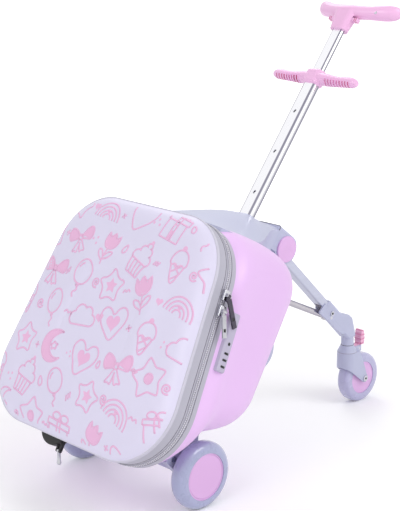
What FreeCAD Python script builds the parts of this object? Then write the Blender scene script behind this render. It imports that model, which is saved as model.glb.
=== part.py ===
import FreeCAD, Part
import math
import os
from FreeCAD import Placement, Rotation, Vector

# Ride-on suitcase: a tapered trolley case with a saddle, a telescopic rod and a fold-out front caster.
# Case frame: x runs from the printed face to the back, y to the left, z along the pull rod.
# Row frame: +X is the riding direction, +Y left, +Z up, with the riding pose at rest.

# Posture in the riding pose
lean_angle = 37.4
wedge_angle = 7.4

# Fits shared by all pieces
running_gap = 0.3
shaft_gap = 0.05
overrun = 5.0

# Printed face, a rounded trapezoid
face_height = 304.0
face_bottom_half = 168.5
face_top_half = 135.0
face_bottom_corner = 76.0
face_top_corner = 76.0

# Lid
dome_rise = 15.0
dome_inset = 92.0
lid_wall = 3.0
piping_half = 2.0
piping_lip = 1.6
piping_width = 5.0
lid_band_depth = 17.3
lid_swell = 1.0
hinge_strip_thickness = 0.8
hinge_strip_depth = 9.0
hinge_strip_margin = 70.0

# Zip and the body's band
chain_thickness = 4.8
chain_lip = 0.8
chain_width = 7.0
band_depth = 10.6
band_wall = 4.5

# Pink rear shell
shell_wall = 3.0
back_depth = 143.0
back_low = 138.0
back_drop = 49.0
back_inset = 60.0
back_corner = 42.0
divider_depth = 94.0
divider_thickness = 2.5

# Saddle cap
cap_front_half = 88.0
beak_half = 29.0
cap_rise = 76.0
boss_half_width = 17.0
boss_half_depth = 11.5
boss_above_face = 68.0
boss_root_above_face = 41.0
boss_round = 4.0

# Arm hinge under the beak
hinge_depth = 181.0
hinge_above_face = 58.0
head_radius = 21.0
head_half = 28.0
head_back = 28.0
head_foot = 12.5
head_round = 3.0
hinge_pin_radius = 4.0
disc_radius = 18.0
disc_thickness = 2.6
disc_round = 1.2

# Fold-out arm
arm_drop = 6.8
fold_angle = 70.0
arm_half_width = 8.5
arm_half_depth = 6.5
arm_wall = 1.5
arm_corner = 2.5
arm_side_gap = 1.0
arm_end = 162.0
arm_slot_start = 140.0

# Knuckle at the arm's end
knuckle_start = 150.0
knuckle_half_width = 10.0
knuckle_half_depth = 9.2
knuckle_screw_reach = 167.5
knuckle_screw_drop = 3.0
knuckle_screw_radius = 3.4
knuckle_screw_head = 2.0
swivel_reach = 166.0
swivel_height = 92.5
neck_radius = 9.2
neck_rise = 14.0
knuckle_shoulder_reach = 186.0
knuckle_chin_reach = 229.0
knuckle_round = 3.5
crown_back = 7.0
crown_height = 141.0
crown_front_height = 135.0
bush_radius = 5.6
bush_length = 24.0
kingpin_radius = 3.2

# Stay from the knuckle to the back
stay_pivot_reach = 172.0
stay_pivot_drop = 7.9
stay_length = 130.0
stay_spread = 19.0
stay_folded_spread = 8.4
stay_radius = 4.5
stay_eye_radius = 6.0
stay_eye_half = 5.0
stay_slot_half = 6.0
stay_pin_radius = 2.5
guide_pin_radius = 3.0
guide_slot_gap = 0.5
guide_rim = 6.0
cheek_inner = 16.0
cheek_thickness = 5.0

# Gray plate on the back with the parking cradle
plate_half = 66.0
plate_thickness = 4.0
plate_root = 126.0
plate_corner = 14.0
plate_margin = 6.0
cradle_height = 220.0
cradle_radius = 28.0
cradle_reach = 214.0
cradle_inner = 54.0
cradle_thickness = 5.0

# Pull rod, with its heights measured from the top of the boss
rod_depth = 113.5
guide_half_width = 14.2
guide_half_depth = 9.2
guide_bottom = 98.0
lower_half_width = 12.0
lower_half_depth = 7.0
lower_wall = 1.4
lower_below_boss = 72.0
lower_top = 223.0
plug_height = 6.0
rod_hole_radius = 2.6
rod_hole_first = 33.0
rod_hole_pitch = 62.7
rod_hole_count = 3
upper_half_width = 9.4
upper_half_depth = 4.6
upper_wall = 1.1
upper_bottom = 28.0

# Child's handlebar on the lower tube
bar_height = 214.0
bar_half_length = 74.0
bar_root_half_height = 8.6
bar_root_half_depth = 9.4
bar_hub_half_width = 15.5
bar_hub_half_depth = 10.6
bar_hub_half_height = 11.4
bar_hub_round = 5.0
rib_count = 10
rib_pitch = 4.8
rib_width = 2.2
rib_start = 22.0
rib_lip = 1.1

# Grip handle on the upper tube
grip_height = 321.0
grip_half_length = 70.0
grip_radius = 10.4
grip_sweep = 28.0
grip_neck_bottom = 291.0
grip_neck_half_width = 13.5
grip_neck_half_depth = 9.0
grip_neck_top_half_width = 19.0
grip_neck_top_half_depth = 10.0
trigger_half_width = 25.0
trigger_half_depth = 3.6
trigger_height = 5.0
trigger_travel = 3.0
trigger_bottom = 306.0
handle_screw_radius = 2.4
handle_screw_height = 1.6
handle_screw_reach = 45.0
handle_screw_drop = 4.0

# Rear wheels
axle_depth = 131.0
axle_height = 37.0
rear_radius = 43.2
rear_half_width = 11.5
rear_outer_face = 121.0
rear_hub_radius = 30.0
tyre_round = 10.0
hub_recess = 1.2
axle_radius = 4.0
axle_head_radius = 6.5
axle_head_thickness = 2.0
hub_cover_radius = 28.0
hub_cover_thickness = 2.0
hub_cover_round = 0.8
crossbar_radius = 9.0
bracket_outer = 93.0
bracket_thickness = 12.0
bracket_radius = 14.0
bracket_near = 46.0
bracket_far = 38.0
bracket_toe = 7.0
bracket_rise = 84.0
bracket_screw_radius = 4.0
bracket_screw_head = 1.8
bracket_screw_rise = 1.0
bracket_screw_back = 38.0

# Front caster
caster_radius = 37.0
caster_half_width = 10.0
caster_trail = 26.0
caster_hub_radius = 24.0
caster_round = 6.2
caster_gap = 2.4
fork_half_width = 14.5
fork_side_gap = 1.2
fork_shoulder = 82.0
fork_hem = 60.0
fork_knee = 54.0
fork_knee_back = 5.0
fork_brow = 19.0
fork_brow_height = 69.0
fork_front = 13.0
fork_tip_radius = 6.0
fork_crown_radius = 9.4
kingpin_foot = 76.0
caster_axle_radius = 3.0
caster_screw_radius = 4.6
caster_screw_head = 1.6
lug_front = 24.0
lug_foot = 79.0
lug_top = 87.5
lug_half = 7.0

# Brake pedal on the fork
pedal_pivot_reach = 20.0
pedal_pivot_height = 83.5
pedal_pin_radius = 1.5
pedal_half_width = 6.0
pedal_reach = 27.8
pedal_height = 97.0
pedal_half_depth = 4.4
pedal_half_height = 12.6
pedal_foot = 4.0
pedal_side_gap = 0.4
pedal_rib_count = 4
pedal_rib_pitch = 5.0
pedal_rib_depth = 1.0
pedal_rib_width = 1.6

# Zip sliders, their pulls and the side lock
slider_half_width = 4.5
slider_half_length = 7.0
slider_thickness = 4.6
slider_round = 1.0
slider_upper_drop = 78.0
slider_lower_drop = 97.0
pull_upper_length = 40.0
pull_lower_length = 31.0
pull_half_width = 3.5
pull_thickness = 1.6
pull_rise = 10.6
pull_hole_half = 2.0
pull_hole_share = 0.72
pull_upper_swing = 36.0
pull_lower_swing = 20.0
pull_pin_radius = 0.9
pull_eye_radius = 2.2
pull_eye_half = 2.0
pull_lug_half = 3.6
lock_depth = 46.0
lock_drop = 92.0
lock_span = 72.0
lock_half_width = 7.0
lock_thickness = 8.5
lock_round = 2.5
lock_sink = 3.0
dial_radius = 2.6
dial_half = 1.0
dial_gap = 0.4
dial_axle_radius = 1.0
dial_sink = 1.5
dial_margin = 7.0
dial_pitch = 8.0
dial_count = 3
end_slider_side = 38.0
end_slider_half_length = 22.0
drop_pull_offset = 16.5
drop_bail_half = 4.0
end_slider_half_width = 6.0
end_slider_thickness = 13.0
drop_pull_length = 19.0
drop_pull_radius = 3.0
drop_pull_pin_radius = 1.0
drop_pull_eye_radius = 2.3
drop_pull_half = 1.6

# Sections of the rear shell, front to back, as shares of the way from the zip band to the flat back:
# bottom depth, bottom rise, top depth, top drop, side inset and corner.
shell_shares = [
    (0.0, 0.0, 0.0, 0.0, 0.0, 0.0),
    (0.25, 0.4, 0.315, -0.26, 0.0, 0.6),
    (0.53, 0.58, 0.654, -0.34, 0.07, 0.9),
    (0.79, 0.7, 0.864, -0.16, 0.22, 1.0),
    (0.935, 0.81, 0.966, 0.25, 0.54, 1.0),
    (1.0, 1.0, 1.0, 1.0, 1.0, 1.0),
]

# Sections of the saddle cap, rear of the seat to the beak:
# length, width, foot height, side height and crest height as shares of the cap's sizes.
cap_shares = [
    (0.0, 1.0, -0.21, 0.03, 0.08),
    (0.33, 1.1, -0.21, 0.16, 0.47),
    (0.6, 0.7, -0.08, 0.42, 0.79),
    (0.815, 0.22, 0.2, 0.74, 0.9),
    (1.0, 0.0, 0.5, 0.92, 1.0),
]

# Sections of the printed dome: rise and inset shares.
dome_shares = [(0.0, 0.0), (0.42, 0.08), (0.76, 0.3), (0.94, 0.64), (1.0, 1.0)]

# Sections of the child's handlebar and of the grip: place along the half length and size shares.
bar_shares = [
    (-1.0, 0.4), (-0.96, 0.62), (-0.6, 0.74), (-0.22, 1.0),
    (0.22, 1.0), (0.6, 0.74), (0.96, 0.62), (1.0, 0.4),
]
grip_shares = [
    (-1.0, 0.35), (-0.95, 0.78), (-0.72, 1.02), (-0.38, 0.9), (0.0, 1.0),
    (0.38, 0.9), (0.72, 1.02), (0.95, 0.78), (1.0, 0.35),
]
grip_sweep_power = 1.6

wedge = math.radians(wedge_angle)
lean = math.radians(lean_angle)
taper = math.atan2(face_bottom_half - face_top_half, face_height)
lid_back = piping_half + lid_band_depth
chain_front = lid_back + running_gap
band_front = chain_front + chain_thickness
shell_front = band_front + band_depth
back_high = face_height - back_drop
boss_height = face_height + boss_above_face
boss_root = face_height + boss_root_above_face
hinge_height = face_height + hinge_above_face
lower_bottom = -lower_below_boss
slider_upper_place = face_height - slider_upper_drop
slider_lower_place = face_height - slider_lower_drop
lock_low = face_height - lock_drop - lock_span
case_rise = rear_radius + axle_depth * math.sin(lean) - axle_height * math.cos(lean)
case_place = Placement(Vector(0, 0, case_rise), Rotation(Vector(0, 1, 0), lean_angle))
hinge_place = Placement(Vector(hinge_depth, 0, hinge_height), Rotation())
arm_place = Placement(Vector(hinge_depth, 0, hinge_height), Rotation(Vector(0, 1, 0), arm_drop))
rod_place = case_place.multiply(Placement(Vector(0, 0, boss_height), Rotation()))
hinge_world = case_place.multVec(hinge_place.Base)
swivel_x = hinge_world.x + swivel_reach
caster_x = swivel_x + caster_trail
nodes = {}


# Points and placements

def face_half(height):
    return face_bottom_half - math.tan(taper) * height


def face_point(depth, height, side):
    along = depth * math.cos(wedge) - height * math.sin(wedge)
    up = depth * math.sin(wedge) + height * math.cos(wedge)
    return Vector(along, side, up)


def face_rise(x, z):
    return z * math.cos(wedge) - x * math.sin(wedge)


def side_place(depth, height, hand):
    turned = Rotation(Vector(0, 1, 0), -wedge_angle)
    turned = turned.multiply(Rotation(Vector(1, 0, 0), hand * math.degrees(taper)))
    return Placement(face_point(depth, height, hand * face_half(height)), turned)


def moved(shape, place):
    result = shape.copy()
    result.Placement = place.multiply(result.Placement)
    return result


def put_case(name, shape):
    nodes[name] = moved(shape, case_place)


def put_rod(name, shape):
    nodes[name] = moved(shape, rod_place)


def put_arm(name, shape):
    nodes[name] = moved(shape, case_place.multiply(arm_place))


# Shape helpers

def rounded_wire(corners, radii):
    starts = []
    edges = []
    count = len(corners)
    for index, corner in enumerate(corners):
        back = (corners[index - 1] - corner).normalize()
        ahead = (corners[(index + 1) % count] - corner).normalize()
        half_turn = back.getAngle(ahead) / 2
        radius = radii[index]
        run = radius / math.tan(half_turn)
        bisector = (back + ahead).normalize()
        middle = corner + bisector * (radius / math.sin(half_turn) - radius)
        starts.append((corner + back * run, middle, corner + ahead * run))
    for index, (first, middle, last) in enumerate(starts):
        edges.append(Part.Arc(first, middle, last).toShape())
        edges.append(Part.LineSegment(last, starts[(index + 1) % count][0]).toShape())
    return Part.Wire(edges)


def prism(wire, way):
    return Part.Face(wire).extrude(way)


def polygon_y(points, low, high):
    corners = [Vector(x, low, z) for x, z in points]
    return prism(Part.makePolygon(corners + corners[:1]), Vector(0, high - low, 0))


def box(x_low, x_high, y_low, y_high, z_low, z_high):
    return Part.makeBox(x_high - x_low, y_high - y_low, z_high - z_low, Vector(x_low, y_low, z_low))


def rod_y(x, z, radius, low, high):
    return Part.makeCylinder(radius, high - low, Vector(x, low, z), Vector(0, 1, 0))


def rod_x(y, z, radius, low, high):
    return Part.makeCylinder(radius, high - low, Vector(low, y, z), Vector(1, 0, 0))


def rod_z(x, y, radius, low, high):
    return Part.makeCylinder(radius, high - low, Vector(x, y, low))


def stadium(half_width, half_depth, low, high, depth):
    flat = half_width - half_depth
    near = Vector(depth - half_depth, 0, low)
    far = Vector(depth + half_depth, 0, low)
    side = Vector(0, flat, 0)
    tip = Vector(depth, half_width, low)
    edges = [
        Part.LineSegment(far - side, far + side).toShape(),
        Part.Arc(far + side, tip, near + side).toShape(),
        Part.LineSegment(near + side, near - side).toShape(),
        Part.Arc(near - side, Vector(depth, -half_width, low), far - side).toShape(),
    ]
    return prism(Part.Wire(edges), Vector(0, 0, high - low))


def ring_edges(shape, axis, place, tolerance):
    found = []
    for edge in shape.Edges:
        if edge.Closed and abs(edge.CenterOfMass.dot(axis) - place) < tolerance:
            found.append(edge)
    return found


def face_wire(depth, inset):
    low = inset
    high = face_height - inset
    shrink = inset / math.cos(taper)
    corners = [
        face_point(depth, low, -(face_half(low) - shrink)),
        face_point(depth, low, face_half(low) - shrink),
        face_point(depth, high, face_half(high) - shrink),
        face_point(depth, high, -(face_half(high) - shrink)),
    ]
    bottom = face_bottom_corner - min(inset, face_bottom_corner / 2)
    top = face_top_corner - min(inset, face_top_corner / 2)
    return rounded_wire(corners, [bottom, bottom, top, top])


def face_ring(depth_low, depth_high, outset, width):
    way = face_point(depth_high - depth_low, 0, 0)
    outer = prism(face_wire(depth_low, -outset), way)
    inner = prism(face_wire(depth_low - overrun, width - outset), way + face_point(2 * overrun, 0, 0))
    return outer.cut(inner)


# Case: rear shell, band, zip and divider

def shell_loft(wall, front):
    bottom_front = face_point(front, wall, 0)
    top_front = face_point(front, face_height - wall, 0)
    bottom_back = Vector(back_depth - wall, 0, back_low + wall)
    top_back = Vector(back_depth - wall, 0, back_high - wall)
    wires = []
    for bottom_in, bottom_up, top_in, top_down, inset, rounding in shell_shares:
        low_x = bottom_front.x + (bottom_back.x - bottom_front.x) * bottom_in
        low_z = bottom_front.z + (bottom_back.z - bottom_front.z) * bottom_up
        high_x = top_front.x + (top_back.x - top_front.x) * top_in
        high_z = top_front.z + (top_back.z - top_front.z) * top_down
        pull_in = wall + back_inset * inset
        low_half = face_half(face_rise(low_x, low_z)) - pull_in
        high_half = face_half(face_rise(high_x, high_z)) - pull_in
        bottom = face_bottom_corner + (back_corner - face_bottom_corner) * rounding - wall
        top = face_top_corner + (back_corner - face_top_corner) * rounding - wall
        corners = [
            Vector(low_x, -low_half, low_z),
            Vector(low_x, low_half, low_z),
            Vector(high_x, high_half, high_z),
            Vector(high_x, -high_half, high_z),
        ]
        wires.append(rounded_wire(corners, [bottom, bottom, top, top]))
    return Part.makeLoft(wires, True, False)


def dial_heights():
    return [(dial_margin + dial_pitch * index) / math.cos(taper) for index in range(dial_count)]


def dial_room(height):
    half = dial_half + dial_gap
    return rod_z(0, dial_y, dial_radius + dial_gap, height - half, height + half)


lock_place = side_place(lock_depth, lock_low, -1)
lock_length = lock_span / math.cos(taper)
dial_y = -lock_thickness + dial_sink
shell_outer = shell_loft(0, shell_front)
shell_inner = shell_loft(shell_wall, shell_front)
rod_guide_top = boss_height - overrun
rod_guide_outer = stadium(guide_half_width, guide_half_depth, guide_bottom, rod_guide_top, rod_depth)
back_shell = shell_outer.cut(shell_inner).cut(rod_guide_outer)
for height in dial_heights():
    back_shell = back_shell.cut(moved(dial_room(height), lock_place))
put_case("back_shell", back_shell)

put_case("zip_band", face_ring(band_front, shell_front, 0, band_wall))
put_case("zip_chain", face_ring(chain_front, band_front, chain_lip, chain_width))

divider_slab = box(divider_depth, divider_depth + divider_thickness, -face_bottom_half, face_bottom_half,
                   0, face_height * 2)
put_case("inner_divider", divider_slab.common(shell_inner))

strip_low = face_bottom_corner + hinge_strip_margin / 2
strip_high = face_height - face_top_corner - hinge_strip_margin / 2
strip = box(0, hinge_strip_depth, 0, hinge_strip_thickness, 0, (strip_high - strip_low) / math.cos(taper))
put_case("lid_hinge_strip", moved(strip, side_place(band_front, strip_low, 1)))


# Lid: piping, band and printed dome

def dome(rise, inset, base):
    wires = []
    for rise_share, inset_share in dome_shares:
        wires.append(face_wire(-base - rise * rise_share, inset + dome_inset * inset_share))
    return Part.makeLoft(wires, True, False)


put_case("lid_band", face_ring(piping_half, lid_back, 0, band_wall))
put_case("lid_piping", face_ring(-piping_half, piping_half, piping_lip, piping_width))
lid_skin = dome(dome_rise, 0, piping_half)
put_case("lid_shell", lid_skin.cut(dome(dome_rise - lid_wall, lid_wall + lid_swell, piping_half)))


# Saddle cap with the rod's boss

def cap_loft():
    front_top = face_point(shell_front, face_height, 0)
    seam = hinge_depth - head_back
    wires = []
    for length_share, width_share, foot_share, side_share, crest_share in cap_shares:
        x = front_top.x + (seam - front_top.x) * length_share
        half = beak_half + (cap_front_half - beak_half) * width_share
        foot = front_top.z + cap_rise * foot_share
        side = front_top.z + cap_rise * side_share
        crest = front_top.z + cap_rise * crest_share
        edges = [
            Part.LineSegment(Vector(x, -half, foot), Vector(x, half, foot)).toShape(),
            Part.LineSegment(Vector(x, half, foot), Vector(x, half, side)).toShape(),
            Part.Arc(Vector(x, half, side), Vector(x, 0, crest), Vector(x, -half, side)).toShape(),
            Part.LineSegment(Vector(x, -half, side), Vector(x, -half, foot)).toShape(),
        ]
        wires.append(Part.Wire(edges))
    return Part.makeLoft(wires, True, False)


boss = stadium(boss_half_width, boss_half_depth, boss_root, boss_height, rod_depth)
boss_top = [edge for edge in boss.Edges if edge.BoundBox.ZMin > boss_height - overrun]
boss = boss.makeFillet(boss_round, boss_top)
lower_passage = stadium(lower_half_width + running_gap, lower_half_depth + running_gap,
                        guide_bottom - overrun, boss_height + overrun, rod_depth)
band_zone = prism(face_wire(-overrun, -cap_front_half), face_point(shell_front + overrun, 0, 0))
seat_cap = cap_loft().fuse(boss).cut(shell_outer).cut(band_zone).cut(rod_guide_outer).cut(lower_passage)
put_case("seat_cap", seat_cap.removeSplitter())
put_case("rod_guide", rod_guide_outer.cut(lower_passage))


# Arm hinge: clevis head, pin and discs

def hinge_head():
    top = hinge_height + head_radius
    head = box(hinge_depth - head_back, hinge_depth, -head_half, head_half, hinge_height - head_foot, top)
    head = head.fuse(rod_y(hinge_depth, hinge_height, head_radius, -head_half, head_half))
    low_x = hinge_depth - head_back
    corners = [
        Vector(low_x, -head_half, hinge_height - 2 * head_radius),
        Vector(low_x, head_half, hinge_height - 2 * head_radius),
        Vector(low_x, head_half, top),
        Vector(low_x, -head_half, top),
    ]
    outline = rounded_wire(corners, [head_round] * len(corners))
    head = head.common(prism(outline, Vector(head_back + head_radius, 0, 0)))
    cleft = arm_half_width + arm_side_gap
    turning = arm_half_depth + arm_side_gap
    low = hinge_height - 2 * head_radius
    head = head.cut(rod_y(hinge_depth, hinge_height, turning, -cleft, cleft))
    tip = hinge_depth + 2 * head_radius
    head = head.cut(box(hinge_depth, tip, -cleft, cleft, low, hinge_height + turning))
    head = head.cut(box(hinge_depth - turning, hinge_depth + turning, -cleft, cleft, low, hinge_height))
    pin = rod_y(hinge_depth, hinge_height, hinge_pin_radius, -head_half, head_half)
    return head.cut(pin).removeSplitter()


def hinge_disc(hand):
    inner = hand * head_half
    disc = rod_y(hinge_depth, hinge_height, disc_radius, min(inner, inner + hand * disc_thickness),
                 max(inner, inner + hand * disc_thickness))
    rim = ring_edges(disc, Vector(0, 1, 0), inner + hand * disc_thickness, disc_round / 2)
    return disc.makeFillet(disc_round, rim)


put_case("hinge_head", hinge_head())
put_case("hinge_pin", rod_y(hinge_depth, hinge_height, hinge_pin_radius, -head_half, head_half))
put_case("hinge_disc_right", hinge_disc(-1))
put_case("hinge_disc_left", hinge_disc(1))


# Stay guide: places of the stay's cross pin over the fold, in the case frame

def stay_pin_place(fold_share):
    spread = math.radians(stay_spread + (stay_folded_spread - stay_spread) * fold_share)
    reach = stay_pivot_reach - stay_length * math.cos(spread)
    drop = -stay_pivot_drop - stay_length * math.sin(spread)
    turned = Rotation(Vector(0, 1, 0), arm_drop + fold_angle * fold_share)
    return Vector(hinge_depth, 0, hinge_height) + turned.multVec(Vector(reach, 0, drop))


def arc_band(first, middle, last, half_width, low, high):
    curve = Part.Arc(first, middle, last).toShape().Curve
    centre = curve.Center
    outer = curve.Radius + half_width
    inner = curve.Radius - half_width
    rays = [(point - centre).normalize() for point in (first, middle, last)]
    edges = [
        Part.Arc(centre + rays[0] * outer, centre + rays[1] * outer, centre + rays[2] * outer).toShape(),
        Part.LineSegment(centre + rays[2] * outer, centre + rays[2] * inner).toShape(),
        Part.Arc(centre + rays[2] * inner, centre + rays[1] * inner, centre + rays[0] * inner).toShape(),
        Part.LineSegment(centre + rays[0] * inner, centre + rays[0] * outer).toShape(),
    ]
    lowered = Part.Wire(edges)
    lowered.translate(Vector(0, low, 0))
    band = prism(lowered, Vector(0, high - low, 0))
    for end in (first, last):
        band = band.fuse(rod_y(end.x, end.z, half_width, low, high))
    return band


def cheek(low, high):
    first = stay_pin_place(0)
    middle = stay_pin_place(0.5)
    last = stay_pin_place(1)
    slot_half = guide_pin_radius + guide_slot_gap
    rim_half = slot_half + guide_rim
    plate = arc_band(first, middle, last, rim_half, low, high)
    foot_x = back_depth + plate_thickness
    web = [
        (foot_x, last.z + rim_half),
        (last.x, last.z + rim_half),
        (middle.x, middle.z),
        (first.x, first.z - rim_half),
        (foot_x, first.z - rim_half * 4),
    ]
    plate = plate.fuse(polygon_y(web, low, high))
    plate = plate.cut(box(0, foot_x, low - overrun, high + overrun, 0, hinge_height))
    return plate.cut(arc_band(first, middle, last, slot_half, low - overrun, high + overrun))


def cradle_ear(low, high):
    foot_x = back_depth + plate_thickness
    ear = rod_y(cradle_reach - cradle_radius, cradle_height, cradle_radius, low, high)
    ear = ear.fuse(box(foot_x, cradle_reach - cradle_radius, low, high,
                       cradle_height - cradle_radius, cradle_height + cradle_radius))
    return ear.cut(box(0, foot_x, low - overrun, high + overrun, 0, hinge_height))


def back_plate():
    low = back_low + plate_margin
    last = stay_pin_place(1)
    high = last.z + guide_pin_radius + guide_slot_gap + guide_rim
    corners = [
        Vector(plate_root, -plate_half, low),
        Vector(plate_root, plate_half, low),
        Vector(plate_root, plate_half, high),
        Vector(plate_root, -plate_half, high),
    ]
    thickness = back_depth + plate_thickness - plate_root
    plate = prism(rounded_wire(corners, [plate_corner] * len(corners)), Vector(thickness, 0, 0))
    cheek_outer = cheek_inner + cheek_thickness
    cradle_outer = cradle_inner + cradle_thickness
    for low_y, high_y in ((cheek_inner, cheek_outer), (-cheek_outer, -cheek_inner)):
        plate = plate.fuse(cheek(low_y, high_y))
    for low_y, high_y in ((cradle_inner, cradle_outer), (-cradle_outer, -cradle_inner)):
        plate = plate.fuse(cradle_ear(low_y, high_y))
    return plate.cut(shell_outer).cut(rod_guide_outer).cut(seat_cap).removeSplitter()


put_case("back_plate", back_plate())


# Rear wheels, axle and brackets

def bracket_solid(hand):
    inner = hand * (bracket_outer - bracket_thickness)
    low = min(inner, hand * bracket_outer)
    high = max(inner, hand * bracket_outer)
    top = axle_height + bracket_rise
    web = [
        (axle_depth, axle_height - bracket_radius),
        (axle_depth - bracket_near, axle_height - bracket_toe),
        (axle_depth - bracket_near, top),
        (axle_depth - bracket_far, top),
        (axle_depth, axle_height + bracket_radius),
    ]
    solid = rod_y(axle_depth, axle_height, bracket_radius, low, high).fuse(polygon_y(web, low, high))
    solid = solid.cut(shell_outer).cut(rod_y(axle_depth, axle_height, axle_radius, low, high))
    return solid.removeSplitter()


def bracket_screws():
    screws = []
    for hand in (-1, 1):
        face = hand * bracket_outer
        tip = face + hand * bracket_screw_head
        screws.append(rod_y(axle_depth - bracket_screw_back, axle_height + bracket_screw_rise,
                            bracket_screw_radius, min(face, tip), max(face, tip)))
    return Part.Compound(screws)


def wheel_tyre(x, z, middle, radius, hub_radius, half_width, round_radius):
    tyre = rod_y(x, z, radius, middle - half_width, middle + half_width)
    rims = [edge for edge in tyre.Edges if edge.Closed]
    tyre = tyre.makeFillet(round_radius, rims)
    return tyre.cut(rod_y(x, z, hub_radius, middle - half_width - overrun, middle + half_width + overrun))


def wheel_hub(x, z, middle, radius, half_width, bore):
    half = half_width - hub_recess
    hub = rod_y(x, z, radius, middle - half, middle + half)
    return hub.cut(rod_y(x, z, bore, middle - half_width, middle + half_width))


def hub_cover(hand):
    inner = hand * (hub_outer - hub_cover_thickness)
    ends = sorted((inner, hand * hub_outer))
    cover = rod_y(axle_depth, axle_height, hub_cover_radius, ends[0], ends[1])
    rim = ring_edges(cover, Vector(0, 1, 0), hand * hub_outer, hub_cover_round / 2)
    return cover.makeFillet(hub_cover_round, rim)


rear_middle = rear_outer_face - rear_half_width
hub_outer = rear_outer_face - hub_recess
axle_half = hub_outer - hub_cover_thickness - running_gap
head_room = axle_head_thickness + running_gap
for hand, side in ((-1, "right"), (1, "left")):
    put_case("wheel_bracket_" + side, bracket_solid(hand))
    put_case("rear_tyre_" + side, wheel_tyre(axle_depth, axle_height, hand * rear_middle, rear_radius,
                                             rear_hub_radius, rear_half_width, tyre_round))
    hub = wheel_hub(axle_depth, axle_height, hand * rear_middle, rear_hub_radius, rear_half_width,
                    axle_radius + shaft_gap)
    room_ends = sorted((hand * (axle_half - head_room), hand * rear_outer_face))
    room_radius = axle_head_radius + running_gap
    hub = hub.cut(rod_y(axle_depth, axle_height, room_radius, room_ends[0], room_ends[1]))
    cover = hub_cover(hand)
    cover_ends = sorted((hand * (hub_outer - hub_cover_thickness), hand * rear_outer_face))
    hub = hub.cut(rod_y(axle_depth, axle_height, hub_cover_radius, cover_ends[0], cover_ends[1]))
    put_case("rear_hub_" + side, hub)
    put_case("hub_cover_" + side, cover)
put_case("bracket_screws", bracket_screws())
rear_axle = rod_y(axle_depth, axle_height, axle_radius, -axle_half, axle_half)
for hand in (-1, 1):
    head_ends = sorted((hand * axle_half, hand * (axle_half - axle_head_thickness)))
    rear_axle = rear_axle.fuse(rod_y(axle_depth, axle_height, axle_head_radius, head_ends[0], head_ends[1]))
put_case("rear_axle", rear_axle.removeSplitter())
crossbar_half = bracket_outer - bracket_thickness
crossbar = rod_y(axle_depth, axle_height, crossbar_radius, -crossbar_half, crossbar_half)
crossbar_bore = rod_y(axle_depth, axle_height, axle_radius, -crossbar_half, crossbar_half)
put_case("axle_crossbar", crossbar.cut(crossbar_bore))


# Pull rod: lower tube with the child's bar

def rod_holes():
    holes = []
    for index in range(rod_hole_count):
        height = rod_hole_first + rod_hole_pitch * index
        holes.append(rod_x(0, height, rod_hole_radius, rod_depth - lower_half_depth - overrun, rod_depth))
    return holes


def oval_wire(x, y, z, half_x, half_z):
    if half_x >= half_z:
        curve = Part.Ellipse(Vector(half_x, 0, 0), Vector(0, half_z, 0), Vector(0, 0, 0))
        turned = Rotation(Vector(1, 0, 0), 90)
    else:
        curve = Part.Ellipse(Vector(half_z, 0, 0), Vector(0, half_x, 0), Vector(0, 0, 0))
        turned = Rotation(Vector(0, 1, 0), -90).multiply(Rotation(Vector(1, 0, 0), 90))
    wire = Part.Wire([curve.toShape()])
    wire.Placement = Placement(Vector(x, y, z), turned)
    return wire


def child_bar():
    wires = []
    for place_share, size_share in bar_shares:
        wires.append(oval_wire(rod_depth, bar_half_length * place_share, bar_height,
                               bar_root_half_depth * size_share, bar_root_half_height * size_share))
    bar = Part.makeLoft(wires, True, False)
    hub = stadium(bar_hub_half_width, bar_hub_half_depth, bar_height - bar_hub_half_height,
                  bar_height + bar_hub_half_height, rod_depth)
    rims = [edge for edge in hub.Edges if edge.BoundBox.ZLength < bar_hub_round]
    bar = bar.fuse(hub.makeFillet(bar_hub_round, rims))
    for hand in (-1, 1):
        for index in range(rib_count):
            near = rib_start + rib_pitch * index
            size = 1 - (1 - bar_shares[1][1]) * near / bar_half_length
            rib = oval_wire(rod_depth, hand * near, bar_height,
                            bar_root_half_depth * size + rib_lip, bar_root_half_height * size + rib_lip)
            rib = prism(rib, Vector(0, hand * rib_width, 0))
            keep = box(rod_depth - bar_hub_half_depth * 2, rod_depth + bar_hub_half_depth, -bar_half_length,
                       bar_half_length, bar_height - bar_hub_half_height * 2, bar_height - rib_lip)
            bar = bar.fuse(rib.common(keep))
    foot = bar_height - bar_hub_half_height - overrun
    tube = stadium(lower_half_width, lower_half_depth, foot, lower_top, rod_depth)
    neck = stadium(upper_half_width + running_gap, upper_half_depth + running_gap, lower_top - overrun,
                   bar_height + bar_hub_half_height + overrun, rod_depth)
    return bar.cut(tube).cut(neck)


lower_bore = stadium(lower_half_width - lower_wall, lower_half_depth - lower_wall, lower_bottom - overrun,
                     lower_top + overrun, rod_depth)
lower_tube = stadium(lower_half_width, lower_half_depth, lower_bottom, lower_top, rod_depth).cut(lower_bore)
for hole in rod_holes():
    lower_tube = lower_tube.cut(hole)
put_rod("lower_tube", lower_tube)
put_rod("lower_tube_plug", stadium(lower_half_width, lower_half_depth, lower_bottom - plug_height,
                                    lower_bottom, rod_depth))
put_rod("child_bar", child_bar())


# Pull rod: upper tube with the grip and its release trigger

def grip_centre(share):
    forward = grip_sweep * abs(share) ** grip_sweep_power
    along = Vector(math.cos(lean), 0, math.sin(lean)) * forward
    return Vector(rod_depth, grip_half_length * share, grip_height) + along


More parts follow.
